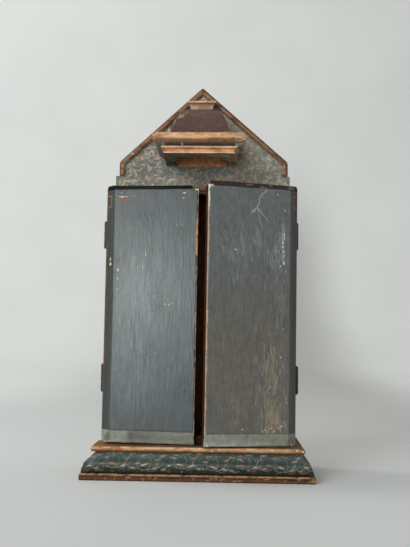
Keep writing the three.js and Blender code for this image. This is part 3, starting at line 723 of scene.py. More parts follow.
    # The outer top corner, where a lost mount has bared red-brown wood inside a pale outline
    mirrored = np.c_[across, up]
    bared = soft_spot(mirrored, (3.8, 271), (3.4, 13)) * (1 - smooth(outer, 5.2, 6.6))
    piece.paint(srgb(88, 70, 60), 0.75 * smooth(bared + 0.6 * (patchy - 0.5), 0.3, 0.6), 0.1)
    outline = stroke(mirrored, [(4.2, 266), (7.4, 266.6), (7.3, 277.0), (3.2, 277.4)], 0.3, 0.35)
    piece.paint(srgb(176, 162, 148), 0.7 * outline * smooth(grain(place, 3, 63), 0.3, 0.55), 0.1)
    low_limit = stroke(mirrored, [(2.6, 253.6), (5.4, 253.4)], 0.3, 0.3) if side == "right" else 0
    piece.paint(srgb(120, 100, 86), 0.8 * low_limit, 0.1)

    # The inner edge: bare wood on its face, and a bright worn line along its front
    inwards = DOOR_INNER - square_across
    on_edge = smooth(-inwards, -0.3, -0.05) * (1 - smooth(outwards, DOOR_THICKNESS - 0.8, DOOR_THICKNESS))
    edge_wood = np.outer(0.5 + 0.8 * grain(place, (3, 30, 3), 64), srgb(66, 38, 23))
    piece.paint(edge_wood, on_edge, 0.0)
    chip = grain(place, (2.5, 9, 2.5), 65)
    width = 0.55 + 1.2 * smooth(chip, 0.5, 0.75) * (0.8 if side == "left" else 1)
    if side == "left":
        lively = 0.6 + 0.4 * smooth(up, 200, 225) + 0.3 * (1 - smooth(up, 60, 90))
        width = width + 0.9 * smooth(up, 214, 220) * (1 - smooth(up, 257, 262))
        line_colour = srgb(212, 160, 120)
    else:
        lively = 0.8 + 0.3 * smooth(up, 255, 262)
        line_colour = srgb(196, 164, 132)
    worn = (1 - smooth(inwards, width * 0.6, width + 0.25)) * np.clip(lively, 0, 1)
    front_only = smooth(outwards, DOOR_THICKNESS - 2.2, DOOR_THICKNESS - 1.2)
    piece.paint(line_colour, worn * front_only * smooth(chip, 0.12, 0.32), 0.1)
    bright = worn * front_only * smooth(grain(place, (2, 5, 2), 66), 0.5, 0.66)
    piece.paint(GESSO, bright * (smooth(up, 256, 262) if side == "right" else 0.5), 0.0)

    cuts = np.zeros(piece.count)
    chips = LEFT_CHIPS if side == "left" else RIGHT_CHIPS
    for number, (at, size) in enumerate(chips):
        beige = side == "left" and number % 3 == 0
        cuts += dab(piece, flat, at, size, srgb(206, 190, 165) if beige else GESSO, 70 + number)
    if side == "left":
        scuff = smooth(soft_spot(flat, (19, 272), (6.5, 3.6)) + 0.4 * (patchy - 0.5), 0.35, 0.75)
        piece.paint(srgb(140, 112, 90), 0.75 * scuff, 0.1)
        notch = smooth(inwards, 7.6, 6.8) * smooth(square_up, DOOR_TOP - 5.2, DOOR_TOP - 4.2)
        piece.paint(DARK_WOOD, notch, 0.0)
    else:
        broken = (1 - smooth(inwards, 3.6, 5.4)) * smooth(square_up, DOOR_TOP - 6.6, DOOR_TOP - 5.4)
        broken = broken * smooth(grain(place, 2.6, 69), 0.3, 0.5)
        stem = (1 - smooth(inwards, 1.2, 2.0)) * smooth(square_up, DOOR_TOP - 28, DOOR_TOP - 24)
        ragged = smooth(grain(place, 1.8, 67), 0.42, 0.56)
        piece.paint(GESSO, np.maximum(broken, stem * ragged) * front_only, 0.0)
    walls = smooth(DOOR_RIM - 0.2 - outwards, 0.0, 0.6) * (1 - on_edge)
    piece.paint(srgb(30, 27, 23), 0.85 * walls, 0.0)
    return np.clip(cuts, 0, 1)


def make_door(side):
    a, depth, up = door_front(side)
    grid = from_door(a, DOOR_GAP + depth, up, side)
    node = f"{side}_door"
    rows, columns = a.shape
    order = np.arange(rows * columns).reshape(rows, columns)
    border = np.concatenate([order[0, :-1], order[:-1, -1], order[-1, :0:-1], order[:0:-1, 0]])
    points = [grid.reshape(-1, 3)]
    faces = quads(rows, columns)
    previous = border
    start = rows * columns
    ring = [values.ravel()[border] for values in (a, depth, up)]
    for share in (0.94, 0.8, 0.55, 0.3, 0.1, 0.0):
        points.append(from_door(ring[0], DOOR_GAP + ring[1] * share, ring[2], side))
        current = start + np.arange(len(border))
        start += len(border)
        wall = np.stack([previous, current, np.roll(current, -1), np.roll(previous, -1)], axis=1)
        faces += wall.tolist()
        previous = current
    points.append(points[-1])
    faces.append((start + np.arange(len(border)))[::-1].tolist())
    piece = Piece(f"worn_{node}", make_mesh(f"worn_{node}", np.concatenate(points), faces))
    cuts = paint_door(piece, side)
    across, outwards, height = to_door(piece.at, side)
    streaks = door_streaks(np.c_[across, height, across * 0], side)
    rough = grain(np.c_[across, height, outwards], (5, 14, 5), 81) - 0.5
    on_front = smooth(outwards, DOOR_RIM - 1, DOOR_RIM)
    piece.push((0.05 * streaks + 0.12 * rough - 0.22 * cuts) * on_front)
    piece.finish(node, "door_paint", MATERIALS["doors"], [node], MATERIALS["inside"])


# Back board and its border

def gable_edge(side):
    """The gable's edge from the shoulder up to the apex, as the solid has it."""
    foot = Vector((side * GABLE_HALF_WIDTH, GABLE_FOOT))
    rake = (Vector(APEX) - foot).normalized()
    bend = Vector((0, 1)).angle(rake)
    start = foot - Vector((0, GABLE_ROUND * math.tan(bend / 2)))
    angles = np.linspace(0, bend, 7)
    corner = [
        (start.x - side * GABLE_ROUND * (1 - math.cos(angle)), start.y + GABLE_ROUND * math.sin(angle))
        for angle in angles
    ]
    return np.array([(side * GABLE_HALF_WIDTH, SHOULDER + 0.25), *corner, APEX])


def board_edge(heights, side):
    """How far across the board reaches at each height."""
    edge = gable_edge(side)
    reach = np.interp(heights, edge[:, 1], edge[:, 0] - APEX[0]) + APEX[0]
    wide = BOARD_LEFT if side < 0 else BOARD_RIGHT
    tip = APEX[0] + side * 0.25
    reach = np.where(heights < SHOULDER, wide, reach)
    return np.where(side * (reach - tip) < 0, tip, reach)


TENDRIL_CENTRES = [
    (12, 301, 5.0), (24, 312, 6.0), (38, 303, 6.2), (52, 313, 6.5), (66, 303, 6.2), (80, 301, 5.6), (80, 316, 6.4),
    (66, 325, 6.4), (52, 330, 5.6), (74, 331, 4.6), (60, 342, 5.0), (48, 349, 4.4), (44, 337, 4.2), (88, 301, 4.4),
]
LEAF_TONES = [srgb(196, 186, 160), srgb(182, 176, 156), srgb(204, 180, 154), srgb(206, 164, 138), srgb(190, 186, 168)]


def paint_tendrils(piece, flat, centres, seed, width=0.35, leaf_length=8.5, leaf_width=1.0, tone=0.9):
    """Spirals with comma-shaped leaves around and inside them, worn in places."""
    random = np.random.default_rng(seed)
    worn = smooth(grain(np.c_[flat, flat[:, 0] * 0], 2.0, seed), 0.18, 0.4)
    for number, (x, y, radius) in enumerate(centres):
        way = 1 if (number + (x > 0)) % 2 else -1
        begin = random.uniform(0, 2 * math.pi)
        line = spiral((x, y), radius, 1.1, begin, way)
        piece.paint(LEAF_TONES[random.integers(2)], tone * 0.7 * worn * stroke(flat, line, width), 0.35)
        for k in range(4):
            angle = begin + way * k * 1.6
            root = np.array([x, y]) + radius * (1 - 0.14 * k) * np.array([math.cos(angle), math.sin(angle)])
            heading = angle + way * random.uniform(0.9, 1.6)
            length = leaf_length * random.uniform(0.7, 1.1)
            shape = leaf(root, heading, length, way * 1.4, leaf_width * random.uniform(0.75, 1.15))
            shade = LEAF_TONES[random.choice([0, 0, 1, 1, 2, 3, 4])]
            piece.paint(shade, tone * worn * stroke(flat, *shape), 0.4)
        shape = leaf((x - 0.3 * radius, y), random.uniform(-0.6, 0.6), leaf_length * 0.6, -way, leaf_width * 0.9)
        piece.paint(LEAF_TONES[2 + random.integers(2)], tone * worn * stroke(flat, *shape), 0.4)


def make_board():
    heights = np.concatenate([
        spaced(BOARD_BOTTOM, 287, 5.5)[:-1], spaced(287, SHOULDER - 0.1, 0.66),
        spaced(SHOULDER + 0.2, APEX[1] - 0.2, 0.66), [APEX[1]],
    ])
    share = np.linspace(0, 1, 292)
    left, right = board_edge(heights, -1), board_edge(heights, 1)
    x = left[:, None] + (right - left)[:, None] * share
    z = np.broadcast_to(heights[:, None], x.shape)
    front = np.stack([x, np.full_like(x, BOARD_FRONT), z], axis=-1)
    piece = relief_body("painted_back_board", front, BOARD_BACK)
    flat = piece.at[:, [0, 2]]
    cloud = grain(piece.at, (14, 14, 14), 101)
    fine = grain(piece.at, (3, 3, 3), 102)
    # Painted light: the ground is lighter towards the right and under the canopy, where the canopy's shade falls
    painted_light_to_right = 1 + 0.3 * smooth(flat[:, 0], -10, 60) + 0.25 * soft_spot(flat, (-2, 308), (50, 22))
    base = np.outer((0.75 + 0.5 * cloud) * painted_light_to_right, srgb(104, 112, 108))
    piece.paint(base, 1, 0.45)
    piece.paint(srgb(136, 130, 116), 0.6 * smooth(fine, 0.42, 0.66), 0.2)
    mirrored = [(side * x + APEX[0], z, radius) for x, z, radius in TENDRIL_CENTRES for side in (-1, 1)]
    paint_tendrils(piece, flat, mirrored, 7)
    random = np.random.default_rng(8)
    for _ in range(150):
        at = (random.uniform(-92, 90), random.uniform(291, 356))
        turn = random.uniform(0, 2 * math.pi)
        shape = leaf(at, turn, random.uniform(3.5, 7.5), random.choice([-1.6, 1.6]), random.uniform(0.45, 0.8))
        shade = LEAF_TONES[random.choice([0, 1, 1, 2, 4])]
        piece.paint(shade, 0.75 * stroke(flat, *shape), 0.35)
    flame = leaf((-90.6, 312.6), 1.2, 8.5, 0.7, 1.5)
    piece.paint(srgb(224, 164, 128), 0.9 * stroke(flat, *flame), 0.3)
    piece.paint(srgb(92, 110, 110), 0.8 * smooth(soft_spot(flat, (-5.6, 306.0), (11, 5.0)), 0.35, 0.65), 0.4)
    for start, way in (((-14.5, 305), 1), ((4, 305), -1)):
        piece.paint(srgb(186, 150, 116), 0.8 * stroke(flat, spiral(start, 4.2, 0.9, -1.2, way), 0.6), 0.3)

    # Above the canopy: leaf scrolls beside the roof and a little foliage in the apex
    beside_roof = [(-31, 362, 5.5), (-24, 372, 4.0), (-38, 355, 4.0), (29, 364, 4.6), (24, 374, 3.6), (35, 355, 4.0)]
    paint_tendrils(piece, flat, beside_roof, 9, leaf_length=8.0)
    in_apex = soft_spot(flat, (APEX[0], 397), (9, 6))
    piece.paint(srgb(104, 62, 44), smooth(in_apex + 0.4 * (fine - 0.5), 0.25, 0.5), 0.3)
    paint_tendrils(piece, flat, [(-5.5, 397, 2.2), (1.6, 397, 2.2), (-1.8, 400.5, 1.6)], 10, 0.3, 3.6, 0.6)
    inside = (1 - smooth(flat[:, 1], 287.5, 289)) * smooth(-piece.at[:, 1], -BOARD_FRONT - 0.5, -BOARD_FRONT)
    piece.paint(np.outer(0.6 + 0.7 * fine, srgb(156, 106, 76)), inside, 0.1)
    # More painted light round the canopy, beside and under it, and over the right of the board
    painted_light_round_canopy = soft_spot(flat, (40, 336), (16, 22)) + 0.7 * soft_spot(flat, (-6, 303), (60, 10))
    painted_light_round_canopy = painted_light_round_canopy + soft_spot(flat, (32, 366), (14, 22))
    piece.paint(srgb(206, 190, 170), np.clip(0.32 * painted_light_round_canopy, 0, 0.38), 0.3)
    piece.paint(srgb(186, 180, 164), 0.16 * smooth(flat[:, 0], 20, 60), 0.3)
    random = np.random.default_rng(11)
    for _ in range(80):
        at = (random.uniform(-20, 90), random.uniform(291, 352))
        turn = random.uniform(0, 2 * math.pi)
        shape = leaf(at, turn, random.uniform(5, 9), random.choice([-1.3, 1.3]), random.uniform(0.5, 0.85))
        piece.paint(LEAF_TONES[random.choice([0, 0, 1, 2, 3])], 0.75 * stroke(flat, *shape), 0.35)
    niche = smooth(soft_spot(flat, (APEX[0], 326), (27, 13)), 0.33, 0.42) * smooth(flat[:, 1], 322.2, 323)
    piece.paint(np.outer(0.6 + 0.8 * fine, srgb(226, 152, 96)), niche, 0.5)
    rims = smooth(piece.at[:, 1], BOARD_FRONT + 0.3, BOARD_FRONT + 1.2)
    piece.paint(srgb(96, 74, 56), rims, 0.1)
    chips = smooth(grain(piece.at, (2.4, 2.4, 2.4), 103), 0.74, 0.8) * smooth(flat[:, 1], 291, 293)
    piece.paint(GESSO, 0.8 * chips, 0)
    dab(piece, flat, (-86.2, 312.4), (1.3, 1.1), GESSO, 104)
    piece.push(0.25 * (cloud - 0.5) - 0.15 * chips)
    behind = piece.at[:, 1] > BOARD_BACK - 0.4
    piece.at[behind, 1] = BOARD_BACK
    piece.finish("cabinet", "teal_ground", MATERIALS["teal"], ["back_board"], MATERIALS["back"])


def wear_edges(piece, start, depth, seed, size=3.0, rounds=3):
    """Rounds and chips the convex edges, and gives back how worn each point is."""
    out = piece.edges(rounds)
    chip = grain(piece.at, size, seed)
    worn = smooth(out + 0.25 * (chip - 0.5), start, start + 0.16)
    piece.push(-depth * worn * smooth(chip, 0.35, 0.75))
    return worn


def paint_gilding(piece, seed, tone=1.0, red=0.5):
    """Gold leaf rubbed through to red-brown bole, with dull and bright places."""
    broad = grain(piece.at, (16, 10, 5), seed)
    fine = grain(piece.at, (4.5, 3, 1.6), seed + 1)
    piece.paint(np.outer(tone * (0.8 + 0.4 * fine), GOLD), 1, 0.8)
    dulled = 0.8 * smooth(broad + 0.4 * (fine - 0.5), 0.45, 0.7)
    piece.paint(np.outer(np.full(piece.count, min(tone, 1)), srgb(150, 100, 66)), dulled, 0.55)
    piece.paint(BOLE, red * smooth(fine + 0.3 * (broad - 0.5), 0.55, 0.75), 0.3)
    return broad, fine


def make_border(side):
    node = "gable_border_left" if side < 0 else "gable_border_right"
    piece = remeshed(node, 0.55)
    edge = gable_edge(side)
    flat = piece.at[:, [0, 2]]
    broad, fine = paint_gilding(piece, 120 + side, 0.42, 0.3)
    outline = stroke(flat, edge, 2.0, 0.6)
    piece.paint(srgb(104, 62, 42), 0.85 * outline, 0.35)
    inner_edge = edge + (np.array([[-side * 5.6, 0]] * 2 + [[-side * 3.8, -4.2]] * (len(edge) - 2)))
    low_down = 0.3 + 0.5 * smooth(flat[:, 1], 348, 330)
    lit = stroke(flat, inner_edge, 0.55, 0.4) * smooth(fine, 0.3, 0.6)
    piece.paint(srgb(206, 180, 150), low_down * lit, 0.4)
    piece.paint(srgb(90, 66, 46), 0.6 * smooth(broad, 0.55, 0.75), 0.2)
    worn = wear_edges(piece, 0.12, 0.35, 130 + side)
    piece.paint(srgb(170, 138, 106), 0.4 * worn * smooth(fine, 0.4, 0.6), 0.2)
    if side < 0:
        dab(piece, flat, (-84.6, 318), (1.2, 2.2), GESSO, 131)
        dab(piece, flat, (-78, 336), (1.4, 1.0), GESSO, 132)
    piece.finish("cabinet", "worn_border", MATERIALS["gilt"], [node])


# Base

def profile_rings(profile, half_width, front, back, step, ends_step=1.6):
    """Rings round a base layer: each profile point runs back, along the front and back again."""
    profile = np.asarray(profile, float)
    along = spaced(-1, 1, step / half_width)
    ends = spaced(0, 1, ends_step / (back - front))
    behind = np.linspace(1, -1, 26)[1:-1]
    reach, height = profile[:, :1], profile[:, 1:]
    wide, y_front = half_width + reach, front - reach
    left = np.stack(np.broadcast_arrays(-wide, back + (y_front - back) * ends[:-1], height), axis=-1)
    middle = np.stack(np.broadcast_arrays(wide * along, y_front, height), axis=-1)
    right = np.stack(np.broadcast_arrays(wide, y_front + (back - y_front) * ends[1:], height), axis=-1)
    rear = np.stack(np.broadcast_arrays(wide * behind, float(back), height), axis=-1)
    return np.concatenate([left, middle, right, rear], axis=1)


def dense(profile, step):
    """More points along a profile, with its corners kept."""
    points = [np.array(profile[0], float)]
    for a, b in zip(profile, profile[1:]):
        a, b = np.array(a, float), np.array(b, float)
        count = max(1, round(np.linalg.norm(b - a) / step))
        points += [a + (b - a) * k / count for k in range(1, count + 1)]
    return np.array(points)


def arc(x, y, radius_x, radius_y, start, end, steps):
    angles = np.radians(np.linspace(start, end, steps + 1))
    return [(x + radius_x * math.cos(angle), y + radius_y * math.sin(angle)) for angle in angles]


def round_the_front(piece, half_width, front):
    """Distance along a base layer: across at the front, and on round both ends."""
    x, y = piece.at[:, 0], piece.at[:, 1]
    side_way = np.abs(x) - half_width > front - y
    return np.where(side_way, np.sign(x) * (half_width + 12 + np.maximum(y - front, 0)), x)


def paint_bare_back(piece):
    """The base's back was never painted: plain wood, with its grain running across."""
    grained = grain(piece.at, (40, 3, 1.4), 145)
    behind = smooth(piece.at[:, 1], BASE_BACK - 0.8, BASE_BACK - 0.3)
    piece.paint(np.outer(0.6 + 0.8 * grained, srgb(96, 74, 54)), behind, 0.0)


def paint_running_scroll(piece, flat, worn):
    """Rings on a wavy stem, with long comma-shaped leaves inside, below and between them."""
    random = np.random.default_rng(15)
    line_tone = srgb(140, 148, 138)
    leaf_tones = [srgb(214, 180, 152), srgb(198, 158, 126), srgb(176, 132, 98), srgb(200, 178, 154)]
    pitch, ring_wide, ring_high = 31.9, 7.6, 6.4
    for number in range(-3, 10):
        x, z = -82 + pitch * number, 16.6 + 0.8 * (-1) ** number
        turn = spiral((0, 0), 1, 1.2, 2.4, -1, 0.35)
        x += random.uniform(-2, 2)
        ring = turn * (ring_wide, ring_high) * random.uniform(0.85, 1.2) + (x, z)
        piece.paint(line_tone, 0.85 * worn * stroke(flat, ring, 0.22, 0.36), 0.3)
        link = [(x + 1, z + 7.4), (x + 9, z + 5.0), (x + 14, z - 2), (x + 20, z - 6.2), (x + 26, z - 5.4)]
        piece.paint(line_tone, 0.7 * worn * stroke(flat, link, 0.2, 0.36), 0.3)
        sweep = [(x + 4, z - 5.6), (x + 9.5, z - 4.2), (x + 14, z + 0.2), (x + 17, z + 4.6), (x + 22, z + 6.4)]
        piece.paint(srgb(180, 156, 134), 0.7 * worn * stroke(flat, sweep, 0.26, 0.4), 0.4)
        piece.paint(line_tone, 0.6 * worn * stroke(flat, np.array(sweep) + (3.4, -1.2), 0.16, 0.36), 0.3)
        leaves = [
            (-4.4, -1.4, 0.0, 8.5, 0.9), (7.6, -3.6, 0.1, 6.5, 0.75), (15.5, -4.6, 0.0, 6.0, 0.75),
            (10.6, 1.4, 0.3, 5.5, 0.6), (14.5, 5.6, 0.1, 7.0, 0.65), (21.0, -1.0, 0.1, 5.5, 0.65),
            (-7.0, 5.0, 0.2, 4.5, 0.5), (3.2, 6.6, 0.0, 6.0, 0.55), (24.5, 4.4, -0.1, 6.0, 0.6),
        ]
        for across, above, heading, length, width in leaves:
            root = (x + across + random.uniform(-0.8, 0.8), z + above + random.uniform(-0.5, 0.5))
            heading += random.uniform(-0.15, 0.15)
            line, widths = leaf(root, heading, length * random.uniform(0.85, 1.1), random.uniform(-0.9, 0.9), width)
            below = np.array([0, -0.5])
            piece.paint(srgb(96, 60, 40), 0.7 * worn * stroke(flat, line + below, widths, 0.4), 0.4)
            # Leaves are fainter low down, where the moulding is painted dark as painted shade
            dull = 1 - 0.35 * smooth(flat[:, 1], 13.5, 10.5)
            tone = leaf_tones[random.integers(4)]
            piece.paint(tone, 0.85 * dull * worn * stroke(flat, line, widths * 0.8, 0.4), 0.5)


def make_base_moulding():
    apron_foot = FOOT_REACH - FOOT_EASING - 0.4
    profile = [
        (apron_foot - 20, FOOT_HEIGHT + SEAM), (apron_foot, FOOT_HEIGHT + SEAM),
        ((2 * apron_foot + APRON_REACH) / 3 + 0.3, FOOT_HEIGHT + 4), (APRON_REACH + 0.5, APRON_TOP - 1.2),
        *arc(APRON_REACH, COVE_TOP, APRON_REACH, COVE_TOP - APRON_TOP, 270, 180, 10),
        (0, LEDGE_BOTTOM - SEAM), (-20, LEDGE_BOTTOM - SEAM),
    ]
    rings = profile_rings(dense(profile, 0.56), NECK_HALF_WIDTH, NECK_FRONT, BASE_BACK, 0.56)
    piece = rings_body("painted_base_moulding", rings)
    around = round_the_front(piece, NECK_HALF_WIDTH + 6, NECK_FRONT - 6)
    height = piece.at[:, 2]
    flat = np.c_[around, height]
    cloud = grain(piece.at, (12, 9, 7), 141)
    fine = grain(piece.at, (2.6, 2.6, 2.2), 142)
    piece.paint(np.outer(0.75 + 0.5 * cloud, srgb(62, 82, 80)), 1, 0.6)
    # Painted shade: the lower part of the moulding is painted dark
    piece.paint(srgb(26, 30, 18), 0.93 * smooth(16.0 - height + 4 * (cloud - 0.5), 0, 5), 0.2)
    piece.paint(srgb(104, 84, 60), 0.5 * smooth(fine, 0.55, 0.75), 0.2)
    paint_running_scroll(piece, flat, smooth(grain(piece.at, 2.4, 143), 0.2, 0.42))
    shadow = smooth(9.4 - height, 0, 2.4)
    piece.paint(srgb(20, 16, 11), 0.9 * shadow, 0.0)
    chips = smooth(grain(piece.at, 1.8, 144), 0.76, 0.82)
    piece.paint(srgb(200, 180, 146), 0.8 * chips, 0)
    worn_ends = smooth(np.abs(piece.at[:, 0]), 103, 108) * smooth(fine, 0.3, 0.6)
    piece.paint(srgb(70, 56, 42), 0.7 * worn_ends, 0.1)
    piece.push(0.25 * (cloud - 0.5) - 0.2 * chips - 0.5 * worn_ends * smooth(fine, 0.45, 0.7))
    # Painted shade along the bottom, above the foot
    under = smooth(FOOT_HEIGHT + 1.4 - height, 0, 0.8)
    piece.paint(srgb(34, 24, 17), under, 0.0)
    paint_bare_back(piece)
    piece.finish("cabinet", "teal_ground", MATERIALS["teal"], ["base_moulding"])


def make_ledge():
    radius = (LEDGE_TOP - LEDGE_BOTTOM) / 2
    middle = LEDGE_REACH - radius
    profile = [
        (middle - 16, LEDGE_BOTTOM),
        *arc(middle, LEDGE_BOTTOM + radius, radius, radius, -90, 90, 12),
        (middle - 6, LEDGE_TOP), (middle - 16, LEDGE_TOP), (middle - 30, LEDGE_TOP),
    ]
    rings = profile_rings(dense(profile, 0.8), NECK_HALF_WIDTH, NECK_FRONT, BASE_BACK, 0.95)
    lost = (rings[..., 0] < LEDGE_LOSS_X) & (rings[..., 1] > LEDGE_LOSS_Y)
    rings[..., 0] = np.where(lost, np.maximum(rings[..., 0], LEDGE_LOSS_X), rings[..., 0])
    piece = rings_body("gilt_ledge", rings)
    broad, fine = paint_gilding(piece, 151, 0.95, 0.75)
    # The ledge's top is painted dark brown as painted shadow under the doors, and lighter at its left end, beyond them
    top = smooth(piece.at[:, 2], LEDGE_TOP - 0.5, LEDGE_TOP - 0.1)
    at_left = 1 + 0.9 * smooth(-piece.at[:, 0], 82, 92)
    piece.paint(np.outer((0.4 + 1.0 * fine) * at_left, srgb(94, 62, 34)), 0.92 * top, 0.2)
    piece.paint(srgb(184, 116, 56), 0.5 * (1 - top) * smooth(broad, 0.3, 0.6), 0.7)
    # A painted highlight along the upper edge of the nose
    nose_highlight = np.exp(-((piece.at[:, 2] - LEDGE_TOP + 1.2) ** 2) / 0.5)
    piece.paint(PALE_GOLD, 0.75 * nose_highlight * smooth(grain(piece.at, (9, 3, 3), 157), 0.35, 0.6), 0.6)
    # Darker towards the bottom of the nose
    piece.paint(srgb(110, 68, 40), 0.6 * smooth(LEDGE_BOTTOM + 2.4 - piece.at[:, 2], 0, 1.2), 0.3)
    piece.paint(srgb(116, 84, 62), 0.55 * smooth(piece.at[:, 0], 84, 94) * smooth(broad, 0.25, 0.5), 0.3)
    ends = smooth(np.abs(piece.at[:, 0]), 98, 102)
    piece.paint(srgb(96, 64, 42), 0.7 * ends * smooth(broad + fine, 0.8, 1.2), 0.2)
    # Painted shade under the nose
    under = smooth(LEDGE_BOTTOM + 0.9 - piece.at[:, 2], 0, 0.7)
    piece.paint(srgb(60, 38, 24), 0.8 * under, 0.1)
    worn = smooth(grain(piece.at, (5, 3, 3), 152), 0.6, 0.74)
    flat = piece.at[:, [0, 2]]
    for number, at in enumerate([(-103.6, 28.8), (101.5, 28.6), (95.4, 29.6), (14, 27.6)]):
        near_front = smooth(-25 - piece.at[:, 1], 0, 2)
        where = np.where(near_front[:, None] > 0.5, flat, flat + 1000)
        worn = np.maximum(worn, 0.7 * dab(piece, where, at, (1.5, 1.0), GESSO, 153 + number))
    piece.push(-0.4 * worn * (1 - top) + 0.2 * (fine - 0.5))
    lump = smooth(soft_spot(piece.at[:, [0, 1]], (97.5, 24), (3, 10)), 0.3, 0.6) * top
    piece.push(1.6 * lump)
    piece.paint(srgb(44, 44, 36), lump, 0.2)
    paint_bare_back(piece)
    piece.finish("cabinet", "gilding", MATERIALS["gilt"], ["base_ledge"])


def make_foot():
    profile = [
        (FOOT_REACH - FOOT_EASING - 20, 0), (FOOT_REACH - FOOT_EASING, 0), (FOOT_REACH, FOOT_EASING),
        (FOOT_REACH, FOOT_HEIGHT - FOOT_EASING), (FOOT_REACH - FOOT_EASING, FOOT_HEIGHT),
        (FOOT_REACH - FOOT_EASING - 20, FOOT_HEIGHT),
    ]
    rings = profile_rings(dense(profile, 0.9), NECK_HALF_WIDTH, NECK_FRONT, BASE_BACK, 1.0)
    piece = rings_body("gilt_foot", rings)
    broad, fine = paint_gilding(piece, 161, 0.17, 0.6)
    height = piece.at[:, 2]
    upper = smooth(height, FOOT_HEIGHT - 1.9, FOOT_HEIGHT - 0.9)
    piece.paint(srgb(196, 148, 98), 0.66 * upper * smooth(fine, 0.34, 0.54), 0.4)
    groove = np.exp(-((height - 3.9) ** 2) / 0.5)
    piece.paint(srgb(110, 60, 24), 0.7 * (1 - upper) * smooth(broad, 0.25, 0.55), 0.3)
    piece.paint(srgb(52, 28, 15), 0.7 * (1 - upper) * smooth(broad, 0.55, 0.35), 0.2)
    piece.paint(srgb(40, 26, 16), 0.7 * groove, 0.1)
    piece.paint(srgb(74, 50, 32), 0.7 * (1 - smooth(height, 0.6, 2.4)) * smooth(broad, 0.3, 0.6), 0.2)
    chips = smooth(grain(piece.at, (3.2, 2, 1.8), 162), 0.66, 0.76)
    piece.paint(srgb(176, 146, 112), 0.6 * chips, 0.1)
    bare = smooth(height, 1.2, 2) * smooth(piece.at[:, 0], 105, 110)
    piece.paint(srgb(170, 128, 88), 0.8 * bare * smooth(fine, 0.35, 0.6), 0.2)
    sound = smooth(height, 0.25, 0.9)
    piece.push(-0.45 * chips * sound + 0.15 * (fine - 0.5) * sound)
    paint_bare_back(piece)
    piece.finish("cabinet", "gilding", MATERIALS["gilt"], ["base_foot"])


# Canopy

